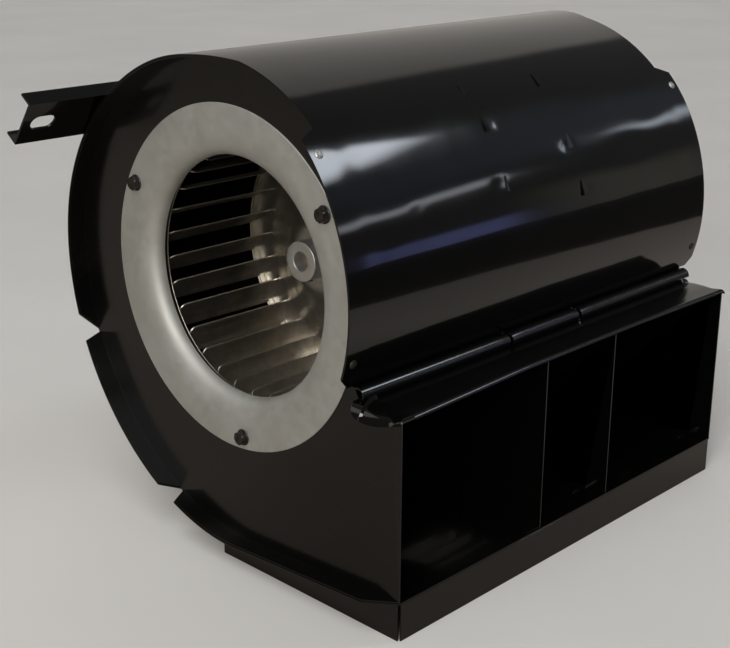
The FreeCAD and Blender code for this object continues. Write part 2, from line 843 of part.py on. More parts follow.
def add_slot(sketch, first, side):
    """An obround outline near one end of the rail: two ends and two straight sides."""
    radius = evaluate("slot_width / 2")
    middle = side * evaluate("rail_length / 2 - slot_inset")
    straight = evaluate("(slot_length - slot_width) / 2")
    normal = Vector(0, 0, 1)
    quarter = math.pi / 2
    centres = (Vector(middle + straight, 0, 0), Vector(middle - straight, 0, 0))
    for centre, begin in zip(centres, (-quarter, quarter)):
        arc = Part.ArcOfCircle(Part.Circle(centre, normal, radius), begin, begin + math.pi)
        sketch.addGeometry(arc, False)
    for height in (radius, -radius):
        ends = [centre + Vector(0, height, 0) for centre in centres]
        sketch.addGeometry(Part.LineSegment(*ends), False)
    for one, one_end, other, other_end in ((0, 2, 2, 1), (0, 1, 3, 1), (1, 1, 2, 2), (1, 2, 3, 2)):
        join = Sketcher.Constraint("Tangent", first + one, one_end, first + other, other_end)
        sketch.addConstraint(join)
    sketch.addConstraint(Sketcher.Constraint("Horizontal", first + 2))
    sketch.addConstraint(Sketcher.Constraint("PointOnObject", first, 3, -1))
    drive(sketch, "Radius", (first,), "slot_width / 2")
    reach = "rail_length / 2 - slot_inset %s (slot_length - slot_width) / 2"
    if side > 0:
        drive(sketch, "DistanceX", (-1, 1, first, 3), reach % "+")
        drive(sketch, "DistanceX", (-1, 1, first + 1, 3), reach % "-")
    else:
        drive(sketch, "DistanceX", (-1, 1, first, 3), "0 - (%s)" % (reach % "-"))
        drive(sketch, "DistanceX", (-1, 1, first + 1, 3), "0 - (%s)" % (reach % "+"))


def make_rail_rivets():
    """Rivets through the rail's web and the wrapper behind it."""
    angle = size("rail_angle")
    radius = size("rail_seat_radius") + size("rail_gauge") + HEAD_GAP
    grip = radius - scroll_radius(angle) + GAUGE + RIVET_GAP
    rivets = []
    for along in RAIL_RIVET_PLACES:
        base = polar(radius, angle, along)
        rivets.append(dome_rivet(base, outward(angle) * -1, size("rail_rivet_radius"), grip))
    shape_part("rail_rivets", Part.makeCompound(rivets))


# --- Wheels: a strip of blades, a rim at the inlet end, a dished disc and a hub ---

BLADE_CORNER = 5.0
BAND_WIDTH = 5.0
BAND_INSET = 0.9
# Where the middle of a blade's curve lies: shares of the way out and of the sweep.
BLADE_MIDDLE = (0.45, 0.36)
BLADE_SLANT = 1.35


def blade_arc(lag):
    """One face of a blade, from its inner edge to its tip; lag sets its thickness."""
    inner = size("blade_inner_radius")
    outer = size("blade_outer_radius")
    sweep = size("blade_sweep")
    middle = inner + BLADE_MIDDLE[0] * (outer - inner)
    places = ((inner, 0.0), (middle, BLADE_MIDDLE[1] * sweep), (outer, sweep))
    points = []
    for radius, swept in places:
        thickness = math.degrees(lag / radius)
        points.append(polar(radius, size("blade_phase") - swept - thickness))
    return Part.Arc(*points).toShape()


def make_blades():
    near = size("blade_near")
    far = size("blade_far")
    inner = size("blade_inner_radius")
    outer = size("blade_outer_radius")
    upper = blade_arc(0.0)
    lower = blade_arc(size("blade_gauge") * BLADE_SLANT)
    ends = [
        Part.makeLine(upper.Vertexes[0].Point, lower.Vertexes[0].Point),
        Part.makeLine(upper.Vertexes[1].Point, lower.Vertexes[1].Point),
    ]
    blade = extruded(Part.Wire(Part.__sortEdges__([upper, lower] + ends)), far, near - far)
    corner = disc_at(inner + BLADE_CORNER, near - BLADE_CORNER, BLADE_CORNER + 1)
    ring = Part.makeTorus(inner + BLADE_CORNER, BLADE_CORNER, AXIS, Vector(1, 0, 0))
    ring.translate(Vector(near - BLADE_CORNER, 0, 0))
    blade = blade.cut(corner.cut(ring))
    step = 360 / size("blade_count")
    blades = []
    for index in range(int(size("blade_count"))):
        copy = blade.copy()
        copy.rotate(AXIS, Vector(1, 0, 0), index * step)
        blades.append(copy)
    for start in (near - BAND_WIDTH, far):
        hollow = disc_at(outer - BAND_INSET, start, BAND_WIDTH)
        blades.append(disc_at(outer, start, BAND_WIDTH).cut(hollow))
    right = blades[0].fuse(blades[1:])
    left = right.mirror(Vector(0, 0, 0), Vector(1, 0, 0))
    shape_part("left_wheel_blades", left)
    shape_part("right_wheel_blades", right)


def make_wheel_bodies():
    for name, side in SIDES:
        turned(name + "_wheel_rim", mirrored(side, [
            ("blade_near + seam_gap + rim_gauge", "rim_flat_radius"),
            ("blade_near + seam_gap + rim_gauge", "wheel_radius"),
            ("blade_near - rim_band", "wheel_radius"),
            ("blade_near - rim_band", "blade_outer_radius + seam_gap"),
            ("blade_near + seam_gap", "blade_outer_radius + seam_gap"),
            ("blade_near + seam_gap", "rim_flat_radius"),
        ]))
        turned(name + "_wheel_disc", mirrored(side, [
            ("disc_seat", "hub_neck_radius + seam_gap"),
            ("disc_seat", "disc_flat_radius"),
            ("blade_far + disc_foot_rise", "disc_foot_radius"),
            ("blade_far - seam_gap", "disc_edge_radius"),
            ("blade_far - seam_gap", "blade_outer_radius + seam_gap"),
            ("blade_far + disc_lip", "blade_outer_radius + seam_gap"),
            ("blade_far + disc_lip", "wheel_radius"),
            ("blade_far - seam_gap - disc_gauge", "wheel_radius"),
            ("blade_far - seam_gap - disc_gauge", "disc_edge_radius - disc_turn"),
            ("blade_far + disc_foot_rise - disc_gauge", "disc_foot_radius - disc_turn"),
            ("disc_seat - disc_gauge", "disc_flat_radius - disc_turn"),
            ("disc_seat - disc_gauge", "hub_neck_radius + seam_gap"),
        ]))
        make_hub(name, side)


def make_hub(name, side):
    """A hub staked through the disc, with a set screw tapped in from its side."""
    blank = turned(name + "_hub_blank", mirrored(side, [
        ("hub_face", "bore_radius"),
        ("hub_face", "hub_radius - hub_chamfer"),
        ("hub_face - hub_chamfer", "hub_radius"),
        ("disc_seat + fit_gap", "hub_radius"),
        ("disc_seat + fit_gap", "hub_neck_radius"),
        ("disc_seat - disc_gauge - fit_gap", "hub_neck_radius"),
        ("disc_seat - disc_gauge - fit_gap", "hub_collar_radius"),
        ("hub_face - hub_length", "hub_collar_radius"),
        ("hub_face - hub_length", "bore_radius"),
    ]))
    parts.remove(blank)
    drill = screw_rod(name + "_set_screw_hole", side, "set_screw_radius + fit_gap", "0", "hub_radius + 1")
    hub = doc.addObject("Part::Cut", name + "_wheel_hub")
    hub.Label = name + "_wheel_hub"
    hub.Base = blank
    hub.Tool = drill
    parts.append(hub)
    reach = "shaft_radius + seam_gap"
    parts.append(screw_rod(name + "_set_screw", side, "set_screw_radius", reach, "set_screw_length"))


def screw_rod(label, side, radius, start, length):
    """A short rod that points down from the shaft's line, at the hub's set screw."""
    rod = doc.addObject("Part::Cylinder", label)
    rod.Label = label
    rod.setExpression("Radius", formula(radius))
    rod.setExpression("Height", formula(length))
    rod.Placement = Placement(Vector(0, 0, 0), Rotation(Vector(1, 0, 0), 180))
    place = "%d * (hub_face + disc_seat) / 2" % side
    rod.setExpression("Placement.Base.x", formula(place))
    rod.setExpression("Placement.Base.y", formula("shaft_y"))
    rod.setExpression("Placement.Base.z", formula("shaft_z - (%s)" % start))
    return rod


# --- Motor: a rolled shell between two end bells, with the shaft through both ---

def drilled(body, name, circle, radius, count):
    """Drills a ring of holes along the shaft's direction through a body."""
    doc.recompute()
    sketch = new_sketch(body, name + "_centre", "YZ_Plane")
    centre = Vector(evaluate(circle), 0, 0)
    sketch.addGeometry(Part.Circle(centre, Vector(0, 0, 1), evaluate(radius)), False)
    drive(sketch, "DistanceX", (-1, 1, 0, 3), circle)
    drive(sketch, "Radius", (0,), radius)
    sketch.addConstraint(Sketcher.Constraint("PointOnObject", 0, 3, -1))
    pocket = body.newObject("PartDesign::Pocket", name + "_hole")
    pocket.Profile = sketch
    pocket.Type = "ThroughAll"
    pocket.Midplane = True
    pattern = body.newObject("PartDesign::PolarPattern", name + "_holes")
    pattern.Originals = [pocket]
    pattern.Axis = (sketch, ["N_Axis"])
    pattern.Angle = 360
    pattern.Occurrences = count
    body.Tip = pattern


BOLT_COUNT = 4
SLOT_COUNT = 24


def make_motor_bodies():
    turned("motor_shell", [
        ("0 - motor_half_length", "motor_radius - motor_wall"),
        ("0 - motor_half_length", "motor_radius"),
        ("motor_half_length", "motor_radius"),
        ("motor_half_length", "motor_radius - motor_wall"),
    ])
    face = "motor_half_length + bell_depth"
    for name, side in SIDES:
        bell = turned("motor_%s_end_bell" % name, mirrored(side, [
            ("motor_half_length + seam_gap", "motor_radius"),
            (face + " - bell_corner", "motor_radius"),
            (face, "motor_radius - bell_corner"),
            (face, "bearing_radius + boss_wall"),
            ("bearing_inner_face + bearing_length + bearing_room", "bearing_radius + boss_wall"),
            ("bearing_inner_face + bearing_length + bearing_room", "bearing_radius + fit_gap"),
            ("bearing_inner_face - bearing_room", "bearing_radius + fit_gap"),
            ("bearing_inner_face - bearing_room", "bearing_radius + boss_back_wall"),
            (face + " - bell_wall", "bearing_radius + boss_back_wall"),
            (face + " - bell_wall", "motor_radius - bell_inner_corner"),
            (face + " - bell_wall - bell_step", "motor_radius - bell_wall"),
            ("motor_half_length + seam_gap", "motor_radius - bell_wall"),
        ]))
        drilled(bell, name + "_bell_bolt", "bolt_circle", "bolt_radius + screw_room", BOLT_COUNT)
        drilled(bell, name + "_bell_mount", "mount_circle", "mount_screw_radius + screw_room", BOLT_COUNT)
        turned(name + "_bearing", mirrored(side, [
            ("bearing_inner_face", "shaft_radius + running_gap"),
            ("bearing_inner_face", "bearing_radius"),
            ("bearing_inner_face + bearing_length", "bearing_radius"),
            ("bearing_inner_face + bearing_length", "shaft_radius + running_gap"),
        ]))
        turned(name + "_thrust_washer", mirrored(side, [
            ("bearing_inner_face - washer_back", "shaft_radius + press_gap"),
            ("bearing_inner_face - washer_back", "bearing_radius - washer_step"),
            ("bearing_inner_face - bearing_room", "bearing_radius - washer_step"),
            ("bearing_inner_face - bearing_room", "shaft_radius + press_gap"),
        ]))
    turned("rotor_core", [
        ("0 - core_half_length - end_ring_length", "shaft_radius + press_gap"),
        ("0 - core_half_length - end_ring_length", "core_radius - end_ring_step"),
        ("0 - core_half_length", "core_radius - end_ring_step"),
        ("0 - core_half_length", "core_radius"),
        ("core_half_length", "core_radius"),
        ("core_half_length", "core_radius - end_ring_step"),
        ("core_half_length + end_ring_length", "core_radius - end_ring_step"),
        ("core_half_length + end_ring_length", "shaft_radius + press_gap"),
    ])
    shaft = doc.addObject("Part::Cylinder", "motor_shaft")
    shaft.Label = "motor_shaft"
    shaft.setExpression("Radius", formula("shaft_radius"))
    shaft.setExpression("Height", formula("shaft_half_length * 2"))
    shaft.Placement = Placement(Vector(0, 0, 0), ALONG_X)
    shaft.setExpression("Placement.Base.x", formula("0 - shaft_half_length"))
    on_shaft(shaft)
    parts.append(shaft)


def slot_blocks(width, low, high, half_length):
    """Blocks that run along the shaft, evenly spaced about it between two radii."""
    blocks = []
    for index in range(SLOT_COUNT):
        block = Part.makeBox(2 * half_length, width, high - low)
        block.translate(Vector(-half_length, AXIS.y - width / 2, AXIS.z + low))
        block.rotate(AXIS, Vector(1, 0, 0), (index + 0.5) * 360 / SLOT_COUNT)
        blocks.append(block)
    return blocks


# Slots in the stator and the windings in them: width, and how far out of the bore they reach.
CORE_SLOT = (4.6, 1.5, 14.0)
WINDING = (4.0, 2.0, 13.5)
# The coils past both ends: length, gap to the core, and how far out of the bore they reach.
COIL_LENGTH = 8.8
COIL_GAP = 0.2
COIL_REACH = (2.6, 19.0)


def make_stator():
    bore = size("core_radius") + size("air_gap")
    half = size("core_half_length")
    outer = size("motor_radius") - size("motor_wall") - size("seam_gap")
    ring = disc_at(outer, -half, 2 * half).cut(disc_at(bore, -half, 2 * half))
    holes = bolt_rods(size("bolt_circle"), size("bolt_radius") + size("screw_room"), half + 1)
    width, low, high = CORE_SLOT
    core = ring.cut(slot_blocks(width, bore + low, bore + high, half + 1) + holes)
    shape_part("stator_core", core)
    width, low, high = WINDING
    windings = slot_blocks(width, bore + low, bore + high, half + 1)
    inside, outside = (bore + reach for reach in COIL_REACH)
    for start in (-half - COIL_GAP - COIL_LENGTH, half + COIL_GAP):
        coil = disc_at(outside, start, COIL_LENGTH)
        windings.append(coil.cut(disc_at(inside, start, COIL_LENGTH)))
    shape_part("stator_windings", windings[0].fuse(windings[1:]))


def bolt_rods(circle, radius, half_length):
    rods = []
    for index in range(BOLT_COUNT):
        base = polar(circle, index * 360 / BOLT_COUNT, -half_length)
        rods.append(Part.makeCylinder(radius, 2 * half_length, base, Vector(1, 0, 0)))
    return rods


# The through bolts: how far they pass the second bell, width across the flats, height of the head.
BOLT_PAST = 2.6
BOLT_HEAD = (5.0, 1.4)
NUT_RADIUS = 3.4
NUT_HEIGHT = 1.9
PAD_RADIUS = 6.5
PAD_HOLE = 2.4


def make_motor_fasteners():
    face = size("motor_half_length") + size("bell_depth")
    bolts = []
    for index in range(BOLT_COUNT):
        degrees = index * 360 / BOLT_COUNT
        base = polar(size("bolt_circle"), degrees, -face - HEAD_GAP)
        along = Vector(1, 0, 0)
        bolt = hex_screw(base, along, size("bolt_radius"), 2 * face + BOLT_PAST, *BOLT_HEAD)
        nut_base = polar(size("bolt_circle"), degrees, face + HEAD_GAP)
        nut = Part.makeCylinder(NUT_RADIUS, NUT_HEIGHT, nut_base, along)
        bolts.append(bolt.fuse(nut).removeSplitter())
    shape_part("motor_through_bolts", Part.makeCompound(bolts))
    wall = size("divider_offset")
    for name, side in SIDES:
        screws = []
        isolators = []
        inward = Vector(-side, 0, 0)
        for index in range(BOLT_COUNT):
            degrees = index * 360 / BOLT_COUNT
            base = polar(size("mount_circle"), degrees, side * (wall + GAUGE / 2 + HEAD_GAP))
            screws.append(hex_screw(base, inward, size("mount_screw_radius"), *MOUNT_SCREW))
            start = side * (wall - GAUGE / 2 - size("fit_gap"))
            seat = polar(size("mount_circle"), degrees, start)
            depth = wall - GAUGE / 2 - face - 2 * size("fit_gap")
            pad = Part.makeCylinder(PAD_RADIUS, depth, seat, inward)
            isolators.append(pad.cut(Part.makeCylinder(PAD_HOLE, depth, seat, inward)))
        shape_part(name + "_motor_mount_screws", Part.makeCompound(screws))
        shape_part(name + "_motor_isolators", Part.makeCompound(isolators))


def main():
    make_wrapper()
    make_end_plates()
    make_dividers()
    make_cutoff_strip()
    make_inlet_rings()
    make_ring_screws()
    make_plate_rivets()
    make_stand()
    make_rail()
    make_rail_rivets()
    make_blades()
    make_wheel_bodies()
    make_motor_bodies()
    make_stator()
    make_motor_fasteners()
    doc.recompute()
    failed = [item.Name for item in doc.Objects if {"Invalid", "Error"} & set(item.State)]
    failed += [part.Label for part in parts if part.Shape.isNull() or not part.Shape.isValid()]
    if failed:
        raise RuntimeError("failed: " + ", ".join(failed))
    os.makedirs("parts", exist_ok=True)
    for part in parts:
        part.Shape.exportStep("parts/%s.step" % part.Label)
    whole = Part.makeCompound([part.Shape for part in parts]).BoundBox
    print(len(parts), "sub-parts, box", whole)


main()
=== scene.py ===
import json
import math

import bmesh
import bpy
import numpy as np
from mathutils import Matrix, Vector, noise

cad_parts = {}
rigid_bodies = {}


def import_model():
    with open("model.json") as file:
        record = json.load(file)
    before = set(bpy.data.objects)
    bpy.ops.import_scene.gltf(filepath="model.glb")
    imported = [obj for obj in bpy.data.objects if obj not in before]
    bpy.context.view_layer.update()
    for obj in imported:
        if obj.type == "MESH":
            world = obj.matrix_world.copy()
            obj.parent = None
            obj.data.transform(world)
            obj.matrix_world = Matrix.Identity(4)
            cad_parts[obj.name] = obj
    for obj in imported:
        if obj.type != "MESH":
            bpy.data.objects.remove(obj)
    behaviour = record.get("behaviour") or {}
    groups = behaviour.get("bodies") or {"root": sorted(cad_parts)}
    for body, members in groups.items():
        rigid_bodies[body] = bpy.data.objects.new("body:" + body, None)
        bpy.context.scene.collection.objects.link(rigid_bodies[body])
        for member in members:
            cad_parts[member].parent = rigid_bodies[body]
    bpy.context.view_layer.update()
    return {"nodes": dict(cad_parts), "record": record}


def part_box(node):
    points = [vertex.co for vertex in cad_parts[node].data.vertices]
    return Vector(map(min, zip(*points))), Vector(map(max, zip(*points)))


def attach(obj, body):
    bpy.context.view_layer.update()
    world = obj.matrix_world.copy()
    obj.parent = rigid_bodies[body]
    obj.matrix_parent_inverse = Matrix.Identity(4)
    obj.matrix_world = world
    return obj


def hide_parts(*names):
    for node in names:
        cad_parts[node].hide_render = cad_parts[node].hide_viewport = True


# The factory scene's own cube, light and camera.
for leftover in list(bpy.data.objects):
    bpy.data.objects.remove(leftover)

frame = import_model()
NODES = frame["nodes"]
SCENE = bpy.context.scene
MM = 0.001
SIDES = (("left", -1), ("right", 1))

shaft_low, shaft_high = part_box("motor_shaft")
SHAFT = (shaft_low + shaft_high) / 2


# ---------------------------------------------------------------- node helpers

class Graph:
    """A short way to write a material's or the world's nodes."""

    def __init__(self, owner):
        owner.use_nodes = True
        self.tree = owner.node_tree
        self.tree.nodes.clear()

    def add(self, kind, settings=None, **inputs):
        node = self.tree.nodes.new("ShaderNode" + kind)
        for key, value in (settings or {}).items():
            setattr(node, key, value)
        for key, value in inputs.items():
            self.put(node.inputs[key.replace("_", " ")], value)
        return node

    def put(self, socket, value):
        if isinstance(value, bpy.types.NodeSocket):
            self.tree.links.new(value, socket)
        else:
            socket.default_value = value

    def math(self, operation, first, second=0.0):
        node = self.add("Math", {"operation": operation})
        self.put(node.inputs[0], first)
        self.put(node.inputs[1], second)
        return node.outputs[0]

    def mix(self, amount, first, second):
        node = self.add("Mix", {"data_type": "RGBA"})
        self.put(node.inputs["Factor"], amount)
        self.put(node.inputs["A"], colour(first))
        self.put(node.inputs["B"], colour(second))
        return node.outputs["Result"]

    def ramp(self, value, low, high, out_low=0.0, out_high=1.0):
        node = self.add("MapRange", {"interpolation_type": "SMOOTHSTEP"})
        self.put(node.inputs["Value"], value)
        self.put(node.inputs["From Min"], low)
        self.put(node.inputs["From Max"], high)
        self.put(node.inputs["To Min"], out_low)
        self.put(node.inputs["To Max"], out_high)
        return node.outputs["Result"]

    def noise(self, place, scale, detail=2.0, rough=0.5):
        node = self.add("TexNoise", Scale=scale, Detail=detail, Roughness=rough)
        self.put(node.inputs["Vector"], place)
        return node.outputs["Fac"]

    def bump(self, height, strength, distance, under=None):
        node = self.add("Bump", Height=height, Strength=strength, Distance=distance)
        if under is not None:
            self.put(node.inputs["Normal"], under)
        return node.outputs["Normal"]


def colour(value):
    if isinstance(value, bpy.types.NodeSocket):
        return value
    return (*value, 1.0) if len(value) == 3 else value


def start_material(name):
    made = bpy.data.materials.new(name)
    graph = Graph(made)
    graph.place = graph.add("TexCoord").outputs["Object"]
    return made, graph


def finish_material(graph, **sockets):
    shader = graph.add("BsdfPrincipled")
    for key, value in sockets.items():
        name = key.replace("_", " ")
        graph.put(shader.inputs[name], colour(value) if name == "Base Color" else value)
    out = graph.add("OutputMaterial")
    graph.tree.links.new(shader.outputs[0], out.inputs[0])


# ---------------------------------------------------------------- materials

def black_enamel(name, dust, base_rough, wave, coat_rough=0.03):
    """Gloss black enamel over thin sheet: orange peel, faint waviness, dust and rubbed patches."""
    made, g = start_material(name)
    peel = g.noise(g.place, 650.0, 1.0)
    waves = g.noise(g.place, 16.0, 1.5)
    rubbed = g.noise(g.place, 30.0, 3.0, 0.55)
    specks = g.noise(g.place, 1300.0, 1.0)
    patches = g.noise(g.place, 45.0, 3.0)
    facing = g.add("SeparateXYZ", Vector=g.add("NewGeometry").outputs["Normal"]).outputs["Z"]
    upward = g.ramp(facing, 0.2, 1.0)
    settled = g.math("MULTIPLY", upward, g.ramp(patches, 0.25, 0.8))
    film = g.mix(g.math("MULTIPLY", settled, dust), (0.0018, 0.0017, 0.0016), (0.05, 0.046, 0.038))
    dots = g.math("MULTIPLY", g.ramp(specks, 0.71, 0.78), g.ramp(patches, 0.45, 0.75, 0.05, 0.6))
    base = g.mix(dots, film, (0.055, 0.045, 0.03))
    rough = g.ramp(rubbed, 0.3, 0.75, base_rough, base_rough + 0.05)
    normal = g.bump(waves, 0.25, wave)
    normal = g.bump(peel, 0.08, 0.00005, normal)
    finish_material(g, Base_Color=base, Roughness=rough, Normal=normal,
                    Coat_Weight=0.6, Coat_Roughness=coat_rough, Specular_IOR_Level=0.20)
    return made


def polar_radius(g):
    """Distance from the shaft's line."""
    split = g.add("SeparateXYZ", Vector=g.place)
    across = g.math("SUBTRACT", split.outputs["Y"], SHAFT.y)
    up = g.math("SUBTRACT", split.outputs["Z"], SHAFT.z)
    square = g.math("ADD", g.math("MULTIPLY", across, across), g.math("MULTIPLY", up, up))
    return g.math("SQRT", square)


def galvanised():
    """Zinc-coated sheet: faint crystals, spinning lines round the throat, dull handling marks."""
    made, g = start_material("galvanised_zinc")
    crystals = g.add("TexVoronoi", {"feature": "F1"}, Scale=210.0)
    g.put(crystals.inputs["Vector"], g.place)
    crystal = g.add("SeparateColor", Color=crystals.outputs["Color"]).outputs[0]
    cloud = g.noise(g.place, 22.0, 4.0, 0.6)
    grain = g.noise(g.place, 900.0, 2.0)
    rings = g.add("TexNoise", {"noise_dimensions": "1D"}, Scale=1.0, Detail=2.0)
    g.put(rings.inputs["W"], g.math("MULTIPLY", polar_radius(g), 2200.0))
    tone = g.mix(g.ramp(cloud, 0.3, 0.7), (0.47, 0.467, 0.43), (0.51, 0.51, 0.48))
    tone = g.mix(g.math("MULTIPLY", crystal, 0.22), tone, (0.61, 0.62, 0.60))
    rough = g.math("ADD", g.ramp(cloud, 0.2, 0.8, 0.50, 0.62), g.math("MULTIPLY", crystal, 0.06))
    normal = g.bump(grain, 0.25, 0.00012)
    normal = g.bump(rings.outputs["Fac"], 0.12, 0.00008, normal)
    finish_material(g, Base_Color=tone, Metallic=0.75, Roughness=rough, Normal=normal)
    return made


def strip_steel(name, light, dark, low, high):
    """Bright rolled steel with oily blotches and fine rolling lines along the shaft."""
    made, g = start_material(name)
    blotch = g.noise(g.place, 85.0, 5.0, 0.62)
    wide = g.noise(g.place, 24.0, 3.0)
    stretched = g.add("Mapping", Vector=g.place, Scale=(25.0, 900.0, 900.0))
    lines = g.noise(stretched.outputs["Vector"], 1.0, 2.0)
    tone = g.mix(g.ramp(blotch, 0.34, 0.66), dark, light)
    tone = g.mix(g.ramp(wide, 0.55, 0.75, 0.0, 0.25), tone, (0.26, 0.21, 0.15))
    rough = g.math("ADD", g.ramp(blotch, 0.3, 0.7, high, low), g.math("MULTIPLY", lines, 0.10))
    normal = g.bump(lines, 0.18, 0.00006)
    normal = g.bump(wide, 0.3, 0.0012, normal)
    finish_material(g, Base_Color=tone, Metallic=1.0, Roughness=rough, Normal=normal)
    return made


def turned_steel(name, light, dark, rough):
    """Turned metal: fine rings about the shaft and a slightly mottled plating."""
    made, g = start_material(name)
    rings = g.add("TexNoise", {"noise_dimensions": "1D"}, Scale=1.0, Detail=3.0)
    g.put(rings.inputs["W"], g.math("MULTIPLY", polar_radius(g), 3000.0))
    mottle = g.noise(g.place, 300.0, 4.0)
    tone = g.mix(g.ramp(mottle, 0.3, 0.7), dark, light)
    uneven = g.ramp(mottle, 0.25, 0.75, rough - 0.06, rough + 0.08)
    normal = g.bump(rings.outputs["Fac"], 0.25, 0.00008)
    finish_material(g, Base_Color=tone, Metallic=0.9, Roughness=uneven, Normal=normal)
    return made


def rough_metal(name, light, dark, rough, metallic, scale, depth):
    """A plain metal or rubber surface with uneven tone and a fine cast or moulded grain."""
    made, g = start_material(name)
    mottle = g.noise(g.place, scale, 5.0, 0.6)
    grain = g.noise(g.place, scale * 6, 2.0)
    tone = g.mix(g.ramp(mottle, 0.3, 0.7), dark, light)
    uneven = g.ramp(mottle, 0.25, 0.75, rough - 0.08, rough + 0.08)
    normal = g.bump(grain, 0.3, depth)
    finish_material(g, Base_Color=tone, Metallic=metallic, Roughness=uneven, Normal=normal)
    return made


def wound_copper():
    """Varnished windings: fine strands round the shaft."""
    made, g = start_material("varnished_copper")
    strands = g.add("TexWave", {"wave_type": "RINGS", "rings_direction": "X"}, Scale=260.0, Distortion=2.0)
    centred = g.add("Mapping", Vector=g.place, Location=(0.0, -SHAFT.y, -SHAFT.z))
    g.put(strands.inputs["Vector"], centred.outputs["Vector"])
    mottle = g.noise(g.place, 120.0, 4.0)
    tone = g.mix(g.ramp(mottle, 0.3, 0.7), (0.34, 0.11, 0.035), (0.56, 0.22, 0.08))
    normal = g.bump(strands.outputs["Fac"], 0.6, 0.0004)
    finish_material(g, Base_Color=tone, Metallic=0.8, Roughness=g.ramp(mottle, 0.2, 0.8, 0.3, 0.45),
                    Normal=normal, Coat_Weight=0.3, Coat_Roughness=0.15)
    return made


MATERIALS = {
    "black_paint": black_enamel("black_enamel", 0.015, 0.10, 0.0003),
    "galvanised": galvanised(),
    "wheel_steel": strip_steel("rolled_strip_steel", (0.60, 0.57, 0.51), (0.44, 0.405, 0.35), 0.27, 0.38),
    "hub_steel": turned_steel("turned_hub_steel", (0.62, 0.62, 0.59), (0.55, 0.55, 0.52), 0.44),
    "screw_steel": rough_metal("blackened_steel", (0.045, 0.04, 0.034), (0.015, 0.013, 0.012),
                               0.38, 0.6, 260.0, 0.0001),
    "shaft_steel": turned_steel("ground_shaft_steel", (0.26, 0.16, 0.11), (0.14, 0.08, 0.055), 0.40),
    "motor_paint": black_enamel("motor_enamel", 0.15, 0.26, 0.0006),
    "core_steel": rough_metal("stacked_core_steel", (0.22, 0.22, 0.23), (0.10, 0.10, 0.11),
                              0.5, 0.8, 180.0, 0.0002),
    "winding_copper": wound_copper(),
    "bearing_bronze": rough_metal("sintered_bronze", (0.48, 0.32, 0.13), (0.28, 0.18, 0.08),
                                  0.45, 0.9, 500.0, 0.0001),
    "rubber": rough_metal("moulded_rubber", (0.035, 0.035, 0.035), (0.018, 0.018, 0.018),
                          0.75, 0.0, 220.0, 0.0002),
}
SLOT_OF = {part["node"]: part["material_slot"] for part in frame["record"]["subparts"]}
# Duller coats of the same paint, on the rolled strip and the flat end plates.
STRIP_FINISH = black_enamel("strip_enamel", 0.015, 0.16, 0.0004, 0.17)
PLATE_FINISH = black_enamel("satin_enamel", 0.035, 0.24, 0.0009, 0.16)


def dress(piece, slot_name):
    piece.data.materials.clear()
    piece.data.materials.append(MATERIALS[slot_name])


for name, node in NODES.items():
    dress(node, SLOT_OF[name])


# ---------------------------------------------------------------- geometry helpers

SHARP_ANGLE = math.radians(32)


def smoothed(mesh):
    """Shades a mesh smooth but for its sharp edges."""
    for face in mesh.polygons:
        face.use_smooth = True
    mesh.set_sharp_from_angle(angle=SHARP_ANGLE)


def new_piece(name, mesh, body, stands_for, slot_name):
    """Makes an object of a mesh, in place of CAD nodes."""
    piece = bpy.data.objects.new(name, mesh)
    SCENE.collection.objects.link(piece)
    smoothed(mesh)
    dress(piece, slot_name)
    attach(piece, body)
    if stands_for:
        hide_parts(*stands_for)
    return piece


WELD = 0.01 * MM
FLAT_ANGLE = math.radians(0.2)
BEVEL_ANGLE = math.radians(40)


def welded(node_name):
    """A copy of a CAD node's mesh with its split corners joined and flat faces merged."""
    grid = bmesh.new()
    grid.from_mesh(NODES[node_name].data)
    bmesh.ops.remove_doubles(grid, verts=grid.verts, dist=WELD)
    bmesh.ops.dissolve_limit(grid, angle_limit=FLAT_ANGLE, verts=grid.verts, edges=grid.edges)
    return grid


def to_mesh(grid, name):
    mesh = bpy.data.meshes.new(name)
    grid.to_mesh(mesh)
    grid.free()
    return mesh


def bevelled(node_name, body, width, segments):
    """A CAD node's shape with its edges slightly rounded."""
    mesh = to_mesh(welded(node_name), node_name + "_soft")
    piece = new_piece(mesh.name, mesh, body, [node_name], SLOT_OF[node_name])
    bevel = piece.modifiers.new("edges", "BEVEL")
    bevel.width = width
    bevel.segments = segments
    bevel.limit_method = "ANGLE"
    bevel.angle_limit = BEVEL_ANGLE
    bevel.harden_normals = False
    return piece


def bridge(grid, rows):
    """Joins closed rows of corners, each to the next."""
    for first, second in zip(rows, rows[1:]):
        for index in range(len(first)):
            onward = (index + 1) % len(first)
            grid.faces.new((first[index], first[onward], second[onward], second[index]))


def close_prism(grid, loops):
    """Makes a closed prism of two matching loops of corners."""
    for loop in loops:
        grid.faces.new(loop)
    bridge(grid, loops)


def close_sheet(grid, rows):
    """Joins rows that run along a sheet's top and back under it, and closes both ends."""
    bridge(grid, rows)
    count = len(rows[0])
    for row in (rows[0], rows[-1]):
        for place in range(count // 2 - 1):
            grid.faces.new((row[place], row[place + 1], row[count - 2 - place], row[count - 1 - place]))
    bmesh.ops.recalc_face_normals(grid, faces=grid.faces)


def lathe(name, profile, body, stands_for, slot_name, steps):
    """Turns a closed profile of (x, radius) round the shaft's line."""
    grid = bmesh.new()
    rows = []
    for index in range(steps):
        angle = 2 * math.pi * index / steps
        row = []
        for along, radius in profile:
            row.append(grid.verts.new((along, SHAFT.y + radius * math.cos(angle),
                                       SHAFT.z + radius * math.sin(angle))))
        rows.append(row)
    bridge(grid, rows + rows[:1])
    bmesh.ops.recalc_face_normals(grid, faces=grid.faces)
    new_piece(name, to_mesh(grid, name), body, stands_for, slot_name)


# ---------------------------------------------------------------- scroll wrapper

